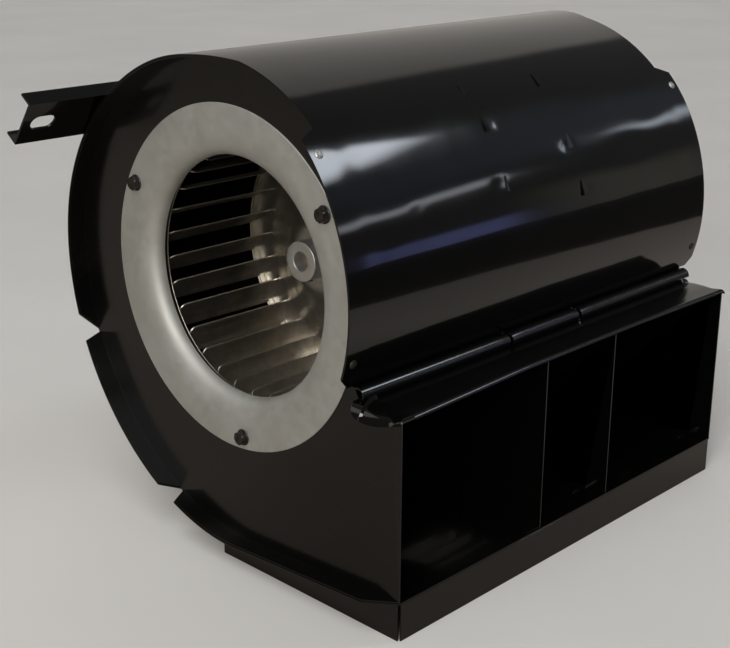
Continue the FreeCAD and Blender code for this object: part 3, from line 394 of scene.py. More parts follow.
WRAPPER_LOW, WRAPPER_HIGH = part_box("scroll_wrapper")
RIM = 12.7 * MM
SHEET = 0.9
GAUGE = SHEET * MM
HALF_WIDTH = WRAPPER_HIGH.x - RIM
DIVIDER_OFFSET = 36.8 * MM
FRONT = WRAPPER_LOW.y
FLOOR_HEIGHT = 24.5 * MM
SCROLL_START = 200.0
SCROLL_END = -97.0
# Each notch in a rim: where one stretch stops, where the next starts, and both ends' slopes in mm.
RIM_NOTCHES = ((125.0, 95.0, 5.6, 33.0), (-24.6, -25.4, 13.0, 3.5), (-70.6, -71.4, 9.5, 6.0))
TAB_ANGLES = {-1: (133.5, 152.0, 122.0), 1: (143.8, 159.0, 122.5)}
SHEET_STEP = 1.0
COLUMN_STEP = 4.0 * MM
FLOOR_ROWS = 40
SLOPE_STEP = 0.2
# Corners are taken four to a degree. Those further than this from a first fit lie on a rim's cuts.
CORNERS_PER_DEGREE = 4
FIT_ROOM = 0.2 * MM
FIRST_DEGREE = 18
LAST_DEGREE = 20
JOIN_ROOM = 0.5


def unwound(across, up):
    """The angle round the shaft in degrees, between the floor's join and the cutoff."""
    angle = math.degrees(math.atan2(up, across))
    return angle + 360 if angle < -120 else angle


def outside_radius():
    """The wrapper's outside radius as a smooth function of angle, from its CAD corners."""
    best = {}
    for vert in NODES["scroll_wrapper"].data.vertices:
        across, up = vert.co.y - SHAFT.y, vert.co.z - SHAFT.z
        angle = unwound(across, up)
        if angle > SCROLL_END + JOIN_ROOM:
            key = round(angle * CORNERS_PER_DEGREE)
            best[key] = max(best.get(key, (0.0, 0.0)), (math.hypot(across, up), angle))
    radii = np.array([pair[0] for pair in best.values()])
    angles = np.array([pair[1] for pair in best.values()])
    fitted = np.polynomial.Chebyshev.fit(angles, radii, FIRST_DEGREE)
    close = np.abs(fitted(angles) - radii) < FIT_ROOM
    return np.polynomial.Chebyshev.fit(angles[close], radii[close], LAST_DEGREE)


OUTSIDE = outside_radius()


def outward(degrees):
    angle = math.radians(degrees)
    return Vector((0.0, math.cos(angle), math.sin(angle)))


def on_scroll(degrees, along=0.0, lift=0.0):
    """A point on the wrapper's outside, or lifted off it."""
    return Vector((along, SHAFT.y, SHAFT.z)) + outward(degrees) * (float(OUTSIDE(degrees)) + lift)


def faded(value, edge, width):
    """0 at an edge, rising smoothly to 1 a width away from it."""
    share = min(max((value - edge) / width, 0.0), 1.0)
    return share * share * (3 - 2 * share)


# Dents: place along X and radius in mm, angle, reach in degrees, and depth in mm.
DENTS = (
    (-31.0, 121.0, 5.0, 2.0, 0.12), (-33.0, 134.6, 5.0, 2.0, 0.42), (-43.0, 151.5, 6.0, 2.2, 0.20),
    (42.5, 124.0, 6.0, 2.2, 0.28), (32.0, 145.2, 6.0, 2.2, 0.42), (42.0, 159.5, 5.0, 1.8, 0.10),
    (-119.0, 153.0, 4.5, 1.8, 0.09), (-150.0, 158.0, 12.0, 4.0, 0.08), (-140.0, 146.0, 22.0, 5.0, 0.18),
    (96.0, 150.0, 26.0, 5.0, 0.35), (128.0, 139.0, 24.0, 4.0, 0.30), (20.0, 134.0, 40.0, 4.0, 0.22),
)
DENT_FALL = 1.6
# Broad waves and fine ripples: length along X in mm, length round the scroll in degrees, depth in mm.
WAVES = (95.0, 9.0, 0.16)
RIPPLES = (34.0, 4.0, 0.03)


def uneven(across, onward, lengths, layer):
    """Smooth random depth, from 0 to the last of the lengths."""
    place = Vector((across / lengths[0], onward / lengths[1], layer))
    return lengths[2] * (0.5 + 0.5 * noise.noise(place))


def sunk(degrees, along):
    """How far the thin sheet lies inside its true curve, in metres."""
    x = along / MM
    depth = uneven(x, degrees, WAVES, 0.3) + uneven(x, degrees, RIPPLES, 7.1)
    for place, angle, radius, spread, deep in DENTS:
        far = ((x - place) / radius) ** 2 + ((degrees - angle) / spread) ** 2
        depth += deep * math.exp(-far * DENT_FALL)
    inside = HALF_WIDTH / MM - abs(x)
    depth *= faded(inside, 1.0, 16.0)
    depth *= faded(SCROLL_START - degrees, 0.5, 6.0) * faded(degrees - SCROLL_END, 4.0, 12.0)
    depth *= 1.0 - faded(degrees, 26.0, 4.0) * faded(-degrees, -48.0, 4.0)
    return depth * MM


def sheet_path():
    """Rows across the sheet: angle (none on the floor), a point of the outside, and the way square to it."""
    rows = []
    count = int((SCROLL_START - SCROLL_END) / SHEET_STEP)
    for index in range(count + 1):
        degrees = SCROLL_START + (SCROLL_END - SCROLL_START) * index / count
        run = (on_scroll(degrees - SLOPE_STEP) - on_scroll(degrees + SLOPE_STEP)).normalized()
        rows.append((degrees, on_scroll(degrees), Vector((0.0, -run.z, run.y))))
    low = rows[-1][1]
    floor_front = Vector((0.0, FRONT, FLOOR_HEIGHT))
    square = rows[-1][2]
    for index in range(1, FLOOR_ROWS + 1):
        rows.append((None, low.lerp(floor_front, index / FLOOR_ROWS), square))
    run = (floor_front - low).normalized()
    flat = Vector((0.0, -run.z, run.y))
    return [(angle, point, flat if angle is None else side) for angle, point, side in rows]


def sheet_grid():
    """The wrapper before its edges are cut: a closed sheet with a fine, slightly dented grid."""
    grid = bmesh.new()
    half = HALF_WIDTH + RIM
    columns = int(2 * half / COLUMN_STEP)
    layers = ([], [])
    for degrees, point, square in sheet_path():
        outside_way = -square if square.dot(point - Vector((0.0, SHAFT.y, SHAFT.z))) < 0 else square
        rows = ([], [])
        for column in range(columns + 1):
            along = -half + 2 * half * column / columns
            down = 0.0 if degrees is None else sunk(degrees, along)
            place = Vector((along, point.y, point.z)) - outside_way * down
            rows[0].append(grid.verts.new(place))
            rows[1].append(grid.verts.new(place - outside_way * GAUGE))
        for layer, row in zip(layers, rows):
            layer.append(row)
    last_row, last_column = len(layers[0]) - 1, columns
    for row in range(last_row):
        for column in range(last_column):
            for layer in layers:
                grid.faces.new((layer[row][column], layer[row][column + 1],
                                layer[row + 1][column + 1], layer[row + 1][column]))
    top, under = layers
    for row in range(last_row):
        for column in (0, last_column):
            grid.faces.new((top[row][column], top[row + 1][column],
                            under[row + 1][column], under[row][column]))
    for column in range(last_column):
        for row in (0, last_row):
            grid.faces.new((top[row][column], top[row][column + 1],
                            under[row][column + 1], under[row][column]))
    bmesh.ops.recalc_face_normals(grid, faces=grid.faces)
    return grid


def prism(grid, origin, along, normal, outline, half_depth=25 * MM):
    """Adds a prism that crosses the sheet; outline is (distance along it, place on X)."""
    loops = []
    for way in (-1, 1):
        loop = []
        for distance, across in outline:
            place = origin + along * distance + Vector((across, 0.0, 0.0))
            loop.append(grid.verts.new(place + normal * half_depth * way))
        loops.append(loop)
    close_prism(grid, loops)


PAST = 2.0 * MM
CORNER = 6.0 * MM
FRONT_SLOPE = 20.0 * MM


def rim_prisms(grid, side):
    """Everything cut out of one end's rim."""
    plate = side * HALF_WIDTH
    edge = side * (HALF_WIDTH + RIM)
    past = side * (HALF_WIDTH + RIM + PAST)
    for stop, start, before, after in RIM_NOTCHES:
        middle = (stop + start) / 2
        radius = float(OUTSIDE(middle))
        reach = radius * math.sin(math.radians((stop - start) / 2))
        outline = [(reach, plate), (reach + before * MM, edge), (reach + before * MM, past),
                   (-reach - after * MM, past), (-reach - after * MM, edge), (-reach, plate)]
        prism(grid, on_scroll(middle), outward(middle + 90), outward(middle), outline)
    outline = [(PAST / 2, edge - side * (CORNER + PAST / 2)), (PAST / 2, past), (-CORNER - PAST, past)]
    start = on_scroll(SCROLL_START)
    prism(grid, start, outward(SCROLL_START + 90), outward(SCROLL_START), outline)
    front = Vector((0.0, FRONT, FLOOR_HEIGHT))
    backward = (on_scroll(SCROLL_END) - front).normalized()
    outline = [(-PAST, plate), (0.0, plate), (FRONT_SLOPE, edge), (FRONT_SLOPE, past), (-PAST, past)]
    prism(grid, front, backward, Vector((0.0, -backward.z, backward.y)), outline)


SLOT_HALF = (5.04 * MM, 0.48 * MM)
SLOT_DEPTH = 8.0 * MM


def slot_prisms(grid, side):
    """The slots that the dividers' tabs come up through."""
    half, thick = SLOT_HALF
    across = side * DIVIDER_OFFSET
    near, far = across - thick, across + thick
    outline = [(-half, near), (half, near), (half, far), (-half, far)]
    for degrees in TAB_ANGLES[side]:
        prism(grid, on_scroll(degrees), outward(degrees + 90), outward(degrees), outline, SLOT_DEPTH)


def cut_with(piece, cutter_grid):
    """Cuts closed shapes out of a piece and keeps the result in its mesh."""
    bmesh.ops.recalc_face_normals(cutter_grid, faces=cutter_grid.faces)
    cutter = bpy.data.objects.new("cutter", to_mesh(cutter_grid, "cutter"))
    SCENE.collection.objects.link(cutter)
    cut = piece.modifiers.new("cut", "BOOLEAN")
    cut.object = cutter
    cut.solver = "EXACT"
    bpy.context.view_layer.update()
    graph = bpy.context.evaluated_depsgraph_get()
    result = bpy.data.meshes.new_from_object(piece.evaluated_get(graph))
    piece.modifiers.clear()
    piece.data = result
    bpy.data.objects.remove(cutter)
    smoothed(result)


def make_wrapper():
    mesh = to_mesh(sheet_grid(), "wrapper_sheet")
    piece = new_piece("wrapper_sheet", mesh, "housing", ["scroll_wrapper"], "black_paint")
    cutters = bmesh.new()
    for _, side in SIDES:
        rim_prisms(cutters, side)
        slot_prisms(cutters, side)
    cut_with(piece, cutters)


make_wrapper()


# ---------------------------------------------------------------- cutoff strip

# Places in the strip's section are (behind the outlet's front, height) in mm.
NOSE_CENTRE = (34.0, 145.4)
NOSE_RADIUS = 4.1
NOSE_TOP_ANGLE = math.radians(61)
NOSE_STEPS = 18
TUCK_TURNS = (6.0, 3.0, 0.6)
TUCK_GAP = 1.5
TUCK_END = (5.2, 4.4)
LIP_HEIGHT = 141.6
LIP_CROWN = (16.5, 1.3)
LIP_BROW = (2.2, 0.5)
LIP_TURN = (0.35, -0.05)
LIP_FRONT = (-0.5, -1.3)
CROWN_STEPS = 12
TURN_STEPS = 5
STRIP_REACH = HALF_WIDTH + 1.0 * MM
STRIP_COLUMN = 3.0 * MM
# The strip's waves, as on the wrapper, and how it is drawn in at the dividers: width and depth in mm.
SLACK_WAVES = (42.0, 15.0, 0.22)
SLACK_RIPPLES = (13.0, 6.0, 0.02)
PINCH = (5.0, 0.30)
# How far the lip's front droops at its left and right end, and where along and behind that begins.
DROOPS = (3.2, 1.5)
DROOP_START = 60.0
DROOP_RUN = 112.0
DROOP_BEHIND = 30.0
# Boxes that give the dividers' corners room, and that clear the lip's ends for the folds.
NOTCH = ((24.0, 142.9), (44.0, 178.0))
NOTCH_HALF = 1.4 * MM
LIP_END = ((-3.0, 136.0), (30.9, 144.6))
# The lip's part of the section lies before and below this.
LIP_ROOT = (30.5, 146.0)
# The folded ends: radius at the front and further back, and where the bend starts as a share of it.
FOLD_FRONT = 3.0
FOLD = 14.0
FOLD_RUN = 9.0
FOLD_START = 0.7
FOLD_REACH = 10.5
FOLD_THICKNESS = 0.85
FOLD_ROWS = 30
FOLD_STEPS = 14
FOLD_CROWDING = 0.06
LEAST_DROP = 0.25
# The folded ends' lower edge.
FLANGE_EDGE = ((-0.5, 137.0), (0.8, 136.6), (4.0, 135.8), (8.0, 134.7), (14.0, 133.0), (20.0, 132.1),
               (26.0, 131.9), (31.0, 132.3), (35.0, 133.8), (37.5, 136.3), (38.5, 138.6))


def arc_points(centre, radius, start, end, count):
    points = []
    for index in range(count + 1):
        angle = start + (end - start) * index / count
        points.append((centre[0] + radius * math.cos(angle), centre[1] + radius * math.sin(angle)))
    return points


def weighted(weights, points):
    """The weighted sum of points in a plane."""
    return tuple(sum(weight * point[axis] for weight, point in zip(weights, points)) for axis in (0, 1))


def bowed(first, middle, last, count):
    """Points on a parabola through three points, the middle one at half way."""
    points = []
    for index in range(1, count + 1):
        share = index / count
        weights = ((1 - share) * (1 - 2 * share), 4 * share * (1 - share), share * (2 * share - 1))
        points.append(weighted(weights, (first, middle, last)))
    return points


def strip_side(lift):
    """One side of the strip's section."""
    behind, height = NOSE_CENTRE
    radius = NOSE_RADIUS + lift
    drop = height - LIP_HEIGHT - lift
    depth = float(OUTSIDE(SCROLL_START)) / MM - SHEET - TUCK_GAP + lift
    points = []
    for turn in TUCK_TURNS:
        place = Vector((0.0, SHAFT.y, SHAFT.z)) / MM + outward(SCROLL_START - turn) * depth
        points.append((place.y - FRONT / MM, place.z))
    points.append((behind + TUCK_END[0] - lift, height + TUCK_END[1] + lift / 2))
    bottom = math.pi + math.asin(drop / radius)
    points += arc_points(NOSE_CENTRE, radius, NOSE_TOP_ANGLE, bottom, NOSE_STEPS)
    crown = (LIP_CROWN[0], LIP_HEIGHT + LIP_CROWN[1] + lift)
    brow = (LIP_BROW[0], LIP_HEIGHT + LIP_BROW[1] + lift)
    turned = (LIP_TURN[0] - lift / 2, LIP_HEIGHT + LIP_TURN[1] + lift)
    front = (LIP_FRONT[0] - lift / 2, LIP_HEIGHT + LIP_FRONT[1] + lift / 2)
    points += bowed(points[-1], crown, brow, CROWN_STEPS)
    points += bowed(brow, turned, front, TURN_STEPS)
    return points


def slack(along, behind):
    """How far the strip's thin sheet lies below its true height, in mm."""
    x = along / MM
    width, depth = PINCH
    pinch = math.exp(-((abs(x) - DIVIDER_OFFSET / MM) / width) ** 2) * faded(behind, 22.0, 8.0)
    loose = uneven(x, behind, SLACK_WAVES, 3.3) + uneven(x, behind, SLACK_RIPPLES, 9.4)
    return loose + depth * pinch


def lowered(along, behind):
    """How far a point of the strip lies below its section, in mm. The ends of the lip droop."""
    droop = DROOPS[0] if along < 0 else DROOPS[1]
    outer = min(max((abs(along) / MM - DROOP_START) / DROOP_RUN, 0.0), 1.0)
    ahead = min(max((DROOP_BEHIND - behind) / DROOP_BEHIND, 0.0), 1.0)
    return slack(along, behind) * faded(behind, 1.0, 4.0) + droop * outer * ahead


def strip_grid():
    """The strip at full length, before it is cut."""
    section = strip_side(0.0) + strip_side(SHEET)[::-1]
    grid = bmesh.new()
    columns = int(2 * STRIP_REACH / STRIP_COLUMN)
    rows = []
    for column in range(columns + 1):
        along = -STRIP_REACH + 2 * STRIP_REACH * column / columns
        row = []
        for behind, height in section:
            down = lowered(along, behind)
            row.append(grid.verts.new((along, FRONT + behind * MM, (height - down) * MM)))
        rows.append(row)
    close_sheet(grid, rows)
    return grid


def strip_prism(grid, corners, start, end):
    """Adds a box across X over two corners of the strip's section."""
    (near, low), (far, high) = corners
    loops = []
    for along in (start, end):
        loop = []
        for behind, height in ((near, low), (far, low), (far, high), (near, high)):
            loop.append(grid.verts.new((along, FRONT + behind * MM, height * MM)))
        loops.append(loop)
    close_prism(grid, loops)


def folded_point(share, drop, lift, fold):
    """A point of the fold: how far short of the strip's end, and how far down, in mm."""
    start = FOLD_START * fold
    flat = FOLD_REACH - start
    bend = fold * math.acos(1.0 - min(drop / fold, 1.0))
    run = share * (flat + bend)
    if run < flat:
        return FOLD_REACH - run, -lift
    angle = (run - flat) / fold
    radius = fold + lift
    return start - radius * math.sin(angle), fold - radius * math.cos(angle)


def end_flange(side):
    """The lip's end, folded down over the end plate."""
    lip = sorted(point for point in strip_side(SHEET) if point[0] < LIP_ROOT[0] and point[1] < LIP_ROOT[1])
    behinds, heights = zip(*lip)
    edge_behinds, edge_heights = zip(*FLANGE_EDGE)
    front, length = FLANGE_EDGE[0][0], FLANGE_EDGE[-1][0] - FLANGE_EDGE[0][0]
    out = list(range(FOLD_STEPS + 1))
    out_and_back = ((0.0, out), (-FOLD_THICKNESS, out[::-1]))
    grid = bmesh.new()
    rows = []
    for index in range(FOLD_ROWS + 1):
        share = index / FOLD_ROWS
        behind = front + length * (share - FOLD_CROWDING * math.sin(2 * math.pi * share))
        top = float(np.interp(behind, behinds, heights))
        top -= lowered(side * (STRIP_REACH - FOLD_REACH * MM), behind)
        fold = FOLD_FRONT + (FOLD - FOLD_FRONT) * faded(behind, front, FOLD_RUN)
        drop = max(top - float(np.interp(behind, edge_behinds, edge_heights)), LEAST_DROP)
        row = []
        for lift, steps in out_and_back:
            for step in steps:
                short, down = folded_point(step / FOLD_STEPS, drop, lift, fold)
                along = side * (STRIP_REACH - short * MM)
                row.append(grid.verts.new((along, FRONT + behind * MM, (top - down) * MM)))
        rows.append(row)
    close_sheet(grid, rows)
    return grid


def make_strip():
    mesh = to_mesh(strip_grid(), "cutoff_nose")
    piece = new_piece("cutoff_nose", mesh, "housing", ["cutoff_strip"], "black_paint")
    piece.data.materials[0] = STRIP_FINISH
    cutters = bmesh.new()
    for _, side in SIDES:
        across = side * DIVIDER_OFFSET
        strip_prism(cutters, NOTCH, across - NOTCH_HALF, across + NOTCH_HALF)
        end = side * (STRIP_REACH + PAST)
        strip_prism(cutters, LIP_END, side * (STRIP_REACH - FOLD_REACH * MM), end)
    cut_with(piece, cutters)
    for name, side in SIDES:
        mesh = to_mesh(end_flange(side), name + "_strip_flange")
        new_piece(mesh.name, mesh, "housing", [], "black_paint")


make_strip()


# ---------------------------------------------------------------- turned and rolled pieces

FILLET_SHARE = 0.45


def filleted(corners, radius, steps):
    """A closed profile with its corners rounded, each by less than half of its sides."""
    points = []
    count = len(corners)
    for index, corner in enumerate(corners):
        here = Vector(corner)
        before = Vector(corners[index - 1]) - here
        after = Vector(corners[(index + 1) % count]) - here
        reach = min(radius, before.length * FILLET_SHARE, after.length * FILLET_SHARE)
        start = here + before.normalized() * reach
        end = here + after.normalized() * reach
        for step in range(steps + 1):
            share = step / steps
            rest = 1 - share
            points.append(tuple(start * rest ** 2 + here * 2 * share * rest + end * share ** 2))
    return points


def sided(side, profile):
    """A profile in mm for one side of the middle plane."""
    return [(side * along * MM, radius * MM) for along, radius in profile]


def bezier(poles, count):
    """Points on a cubic curve."""
    points = []
    for index in range(count + 1):
        share = index / count
        rest = 1 - share
        weights = (rest ** 3, 3 * rest * rest * share, 3 * rest * share * share, share ** 3)
        points.append(weighted(weights, poles))
    return points


# The inlet ring: radii in mm, and how far its throat stands inside the end plate.
RING_THROAT_DEPTH = 10.5
RING_NECK, RING_FLAT, RING_RIM = 76.3, 94.5, 108.7
ROLL_POLES = (8.0, 3.5)
ROLL_STEPS = 22
RING_GAP = 0.02
RING_EASE = (0.2, 0.3)


def ring_roll(outside, throat, thick):
    """From the flat collar round to the throat."""
    far, near = ROLL_POLES
    poles = ((outside, RING_FLAT), (outside, RING_NECK + far),
             (outside - near, RING_NECK + thick), (throat, RING_NECK + thick))
    return bezier(poles, ROLL_STEPS)


def ring_profile():
    half = HALF_WIDTH / MM
    throat = half - RING_THROAT_DEPTH
    back = half + RING_GAP
    face = back + SHEET
    ease, shoulder = RING_EASE
    edge = [(back, RING_RIM - shoulder), (back + ease, RING_RIM)]
    edge += [(face - ease, RING_RIM), (face, RING_RIM - shoulder)]
    lip = [(throat - 0.25, RING_NECK + SHEET / 2)]
    return edge + ring_roll(face, throat, 0.0) + lip + ring_roll(back, throat, SHEET)[::-1]


# Closed profiles of (distance from the middle plane, radius) in mm.
DISC = (
    (97.2, 12.6), (97.2, 24.0), (86.0, 40.0), (71.6, 66.0), (68.5, 72.0), (68.5, 89.5), (74.6, 89.5),
    (74.6, 90.5), (67.3, 90.5), (67.3, 71.7), (70.4, 65.7), (84.8, 39.6), (96.0, 23.6), (96.0, 12.6),
)
WHEEL_RIM = ((156.7, 79.0), (156.7, 90.5), (148.8, 90.5), (148.8, 89.5), (155.9, 89.5), (155.9, 79.0))
HUB = (
    (111.5, 6.4), (111.5, 13.3), (97.25, 13.3), (97.25, 12.5),
    (95.95, 12.5), (95.95, 16.3), (81.5, 16.3), (81.5, 6.4),
)
# Rotor pieces: name, profile, fillet radius in mm and its steps, node, slot, and steps round.
TURNED = (
    ("dished_disc", DISC, 5.0, 6, "wheel_disc", "wheel_steel", 200),
    ("wheel_edge", WHEEL_RIM, 0.35, 3, "wheel_rim", "wheel_steel", 200),
    ("turned_hub", HUB, 0.6, 3, "wheel_hub", "hub_steel", 120),
)
RING_STEPS = 220


def make_wheels():
    for name, side in SIDES:
        lathe(name + "_throat_ring", sided(side, ring_profile()), "housing",
              [name + "_inlet_ring"], "galvanised", RING_STEPS)
        for piece, corners, fillet, fine, node, slot, steps in TURNED:
            profile = sided(side, filleted(corners, fillet, fine))
            lathe(name + "_" + piece, profile, "rotor", [name + "_" + node], slot, steps)
        bevelled(name + "_wheel_blades", "rotor", 0.14 * MM, 2)


make_wheels()


# ---------------------------------------------------------------- screws and rivets

# Hex washer heads: across the flats, the washer's radius and the height, in mm.
RING_SCREW = (8.2, 5.35, 4.1)
RING_SCREW_CIRCLE = 100.7
RING_SCREW_ANGLES = (28.0, 146.0, -96.0)
RING_SCREW_SEAT = 0.95 * MM
MOUNT_SCREW = (7.0, 4.5, 3.7)
MOUNT_CIRCLE = 42.0
MOUNT_ANGLES = (0.0, 90.0, 180.0, 270.0)
MOUNT_SEAT = 0.5 * MM
HEAD_STEPS = 60
# The rivets' heads: radius and height in mm, and how far each sits inside the sheet.
RIVET_RADIUS = 2.85
RIVET_HEIGHT = 1.35
RIVET_SUNK = 0.25 * MM
RIVET_ROUND = 0.8
RIVET_LEVELS = 12
RIVET_STEPS = 40
# The rivet at this angle gets the light turned steel as a painted highlight. Its dome is black enamel like
# the sheet, and the light steel stands for a reflected window. The rivet at the next angle gets the dark
# blackened steel.
HIGHLIGHT_RIVET_ANGLE = 133.0
DULL_RIVET_ANGLE = 192.0


def round_row(grid, base, out, height, radius_at, steps):
    """A closed row of corners round an axis; radius_at gives each angle's radius. Sizes in mm."""
    turn = Vector(out).to_track_quat("Z", "Y").to_matrix()
    row = []
    for index in range(steps):
        angle = 2 * math.pi * index / steps
        radius = radius_at(angle)
        local = Vector((radius * math.cos(angle), radius * math.sin(angle), height)) * MM
        row.append(grid.verts.new(base + turn @ local))
    return row


def evenly(radius):
    """A radius that is the same all round."""
    return lambda angle: radius


def close_round(grid, rows):
    """Joins rows round an axis and closes both ends."""
    bridge(grid, rows)
    grid.faces.new(rows[0][::-1])
    grid.faces.new(rows[-1])


def hex_radius(across_flats, size, most):
    """The radius of a hexagon, scaled by size, with its corners cut to a circle."""
    apothem = across_flats / 2

    def radius_at(angle):
        local = (angle + math.pi / 6) % (math.pi / 3) - math.pi / 6
        return min(size * apothem / math.cos(local), apothem * most)

    return radius_at


def hex_head(grid, base, out, head):
    """A hex washer head, chamfered, with a dimple in its top."""
    across_flats, washer, height = head
    apothem = across_flats / 2
    body = hex_radius(across_flats, 1.0, 1.16)
    levels = (
        (0.0, evenly(washer)), (0.35, evenly(washer)), (0.8, evenly(washer * 0.93)),
        (0.95, body), (height - 0.55, body), (height, hex_radius(across_flats, 0.98, 0.97)),
        (height, evenly(apothem * 0.72)), (height - 0.5, evenly(apothem * 0.5)), (height - 0.6, evenly(0.02)),
    )
    rows = [round_row(grid, base, out, level, radius_at, HEAD_STEPS) for level, radius_at in levels]
    close_round(grid, rows)


def shaft_circle(radius, degrees, along):
    return Vector((along, SHAFT.y, SHAFT.z)) + outward(degrees) * radius * MM


def screw_set(name, node, side, along, circle, angles, head):
    heads = bmesh.new()
    for degrees in angles:
        hex_head(heads, shaft_circle(circle, degrees, side * along), (side, 0.0, 0.0), head)
    new_piece(name, to_mesh(heads, name), "housing", [node], "screw_steel")


def make_screws():
    for name, side in SIDES:
        screw_set(name + "_hex_screws", name + "_ring_screws", side, HALF_WIDTH + RING_SCREW_SEAT,
                  RING_SCREW_CIRCLE, RING_SCREW_ANGLES, RING_SCREW)
        screw_set(name + "_mount_heads", name + "_motor_mount_screws", side, DIVIDER_OFFSET + MOUNT_SEAT,
                  MOUNT_CIRCLE, MOUNT_ANGLES, MOUNT_SCREW)


def rim_rivet(name, side, degrees, stands_for, metal_or_painted_highlight):
    """A low round head on the wrapper's rim."""
    base = on_scroll(degrees, side * (HALF_WIDTH + RIM / 2), -RIVET_SUNK)
    run = on_scroll(degrees - 1) - on_scroll(degrees + 1)
    square = Vector((0.0, -run.z, run.y)).normalized()
    if square.dot(outward(degrees)) < 0:
        square = -square
    grid = bmesh.new()
    rows = []
    for level in range(RIVET_LEVELS):
        angle = math.pi / 2 * level / RIVET_LEVELS
        reach = RIVET_RADIUS * math.cos(angle) ** RIVET_ROUND
        height = RIVET_HEIGHT * math.sin(angle)
        rows.append(round_row(grid, base, square, height, evenly(reach), RIVET_STEPS))
    close_round(grid, rows)
    rivet = new_piece(name, to_mesh(grid, name), "housing", stands_for, "screw_steel")
    rivet.data.materials[0] = MATERIALS[metal_or_painted_highlight]


def make_rivets():
    for name, side in SIDES:
        nodes = [name + "_plate_rivets"]
        # Light steel here is a painted highlight on a black-enamelled dome.
        rim_rivet(name + "_bright_rivet", side, HIGHLIGHT_RIVET_ANGLE, nodes, "hub_steel")
        rim_rivet(name + "_dull_rivet", side, DULL_RIVET_ANGLE, [], "screw_steel")


# Pieces of the housing that keep their CAD shape: node, and the width in mm and steps of its edges.
SOFT_EDGES = (
    ("mounting_rail", 0.45, 3),
    ("left_end_plate", 0.16, 2),
    ("right_end_plate", 0.16, 2),
    ("left_divider", 0.16, 2),
    ("right_divider", 0.16, 2),
    ("base_stand", 0.25, 2),
    ("motor_left_end_bell", 0.5, 3),
    ("motor_right_end_bell", 0.5, 3),
)


def make_soft_edges():
    for node, width, segments in SOFT_EDGES:
        piece = bevelled(node, "housing", width * MM, segments)
        if node.endswith("_end_plate"):
            piece.data.materials[0] = PLATE_FINISH


make_screws()
make_rivets()
make_soft_edges()


# ---------------------------------------------------------------- floor, light and camera

FLOOR_REACH = 9.0
# The mirrored table: the way to its edge, where it ends, and where its nearer part turns darker as a painted
# shadow, in metres.
TABLE_WAY = (0.51, -0.86, 0.0)
TABLE_END = (0.745, 0.775)
TABLE_SHADOW = (0.40, 0.16)


def floor():
    """A pale floor; what the paint mirrors of it is a warmer table top that ends in front, its part nearest
    the housing darkened by a painted shadow.
    """
    mesh = bpy.data.meshes.new("floor")
    reach = FLOOR_REACH
    corners = [(-reach, -reach, 0), (reach, -reach, 0), (reach, reach, 0), (-reach, reach, 0)]
    mesh.from_pydata(corners, [], [(0, 1, 2, 3)])
    plane = bpy.data.objects.new("floor", mesh)
    SCENE.collection.objects.link(plane)
    made, g = start_material("pale_floor")
    cloud = g.noise(g.place, 3.0, 3.0)
    tone = g.mix(g.ramp(cloud, 0.3, 0.7), (0.78, 0.765, 0.735), (0.82, 0.805, 0.775))
    forward = g.add("VectorMath", {"operation": "DOT_PRODUCT"})
    g.put(forward.inputs[0], g.place)
    g.put(forward.inputs[1], TABLE_WAY)
    table_end = g.ramp(forward.outputs["Value"], *TABLE_END)
    # Painted shadow: the mirrored table turns darker towards the housing.
    near = g.ramp(forward.outputs["Value"], *TABLE_SHADOW)
    table = g.mix(near, (0.64, 0.585, 0.535), (0.38, 0.335, 0.285))
    mirrored = g.mix(table_end, table, (0.06, 0.055, 0.05))
    seen = g.add("LightPath").outputs["Is Camera Ray"]
    finish_material(g, Base_Color=g.mix(seen, mirrored, tone), Roughness=0.85, Specular_IOR_Level=0.2)
    mesh.materials.append(made)


def area_light(name, place, aim, width, height, power, tint):
    data = bpy.data.lights.new(name, "AREA")
    data.shape = "RECTANGLE"
    data.size = width
    data.size_y = height
    data.energy = power
    data.color = tint
    lamp = bpy.data.objects.new(name, data)
    SCENE.collection.objects.link(lamp)
    lamp.location = place
    lamp.rotation_euler = (Vector(aim) - Vector(place)).to_track_quat("-Z", "Y").to_euler()
    lamp.visible_camera = False


def soft_sun(name, toward, strength, spread):
    data = bpy.data.lights.new(name, "SUN")
    data.energy = strength
    data.angle = math.radians(spread)
    lamp = bpy.data.objects.new(name, data)
    SCENE.collection.objects.link(lamp)
    lamp.rotation_euler = Vector(toward).to_track_quat("-Z", "Y").to_euler()


# Bright patches of the room: azimuth, elevation, half width and half height in degrees, tilt, edge, colour.
WINDOWS = (
    (-31.4, 37.6, 7.0, 4.0, 0.38, 1.6, (8.0, 8.6, 9.4)),
    (-26.0, 20.4, 2.6, 1.2, 0.35, 1.2, (2.6, 2.9, 3.2)),
    (-41.0, 15.6, 4.4, 1.1, 0.30, 1.0, (2.6, 2.7, 2.9)),
    (-42.3, 1.2, 3.2, 2.6, 0.10, 1.0, (0.42, 0.47, 1.15)),
    (-34.0, 2.0, 3.2, 7.0, 0.0, 2.5, (0.20, 0.19, 0.15)),
    (-31.0, 26.0, 14.0, 6.0, 0.0, 6.0, (0.07, 0.09, 0.13)),
)


def patch(g, azimuth, elevation, window):
    """A soft-edged four-sided patch of light in the room, as a share of 0 to 1."""
    place, height, half_width, half_height, tilt, edge, _ = window
    across = g.math("SUBTRACT", azimuth, place)
    up = g.math("SUBTRACT", elevation, height)
    up = g.math("SUBTRACT", up, g.math("MULTIPLY", across, tilt))
    wide = g.ramp(g.math("ABSOLUTE", across), half_width + edge, half_width - edge)
    tall = g.ramp(g.math("ABSOLUTE", up), half_height + edge, half_height - edge)
    return g.math("MULTIPLY", wide, tall)


# Ranges of azimuth in degrees where the mirrored wall begins and dims, and of X where the left side does.
WALL_START = (13.0, 18.0)
WALL_DIMS = (30.0, 60.0, 1.0, 0.6)
LEFT_START = (0.1, -0.6)


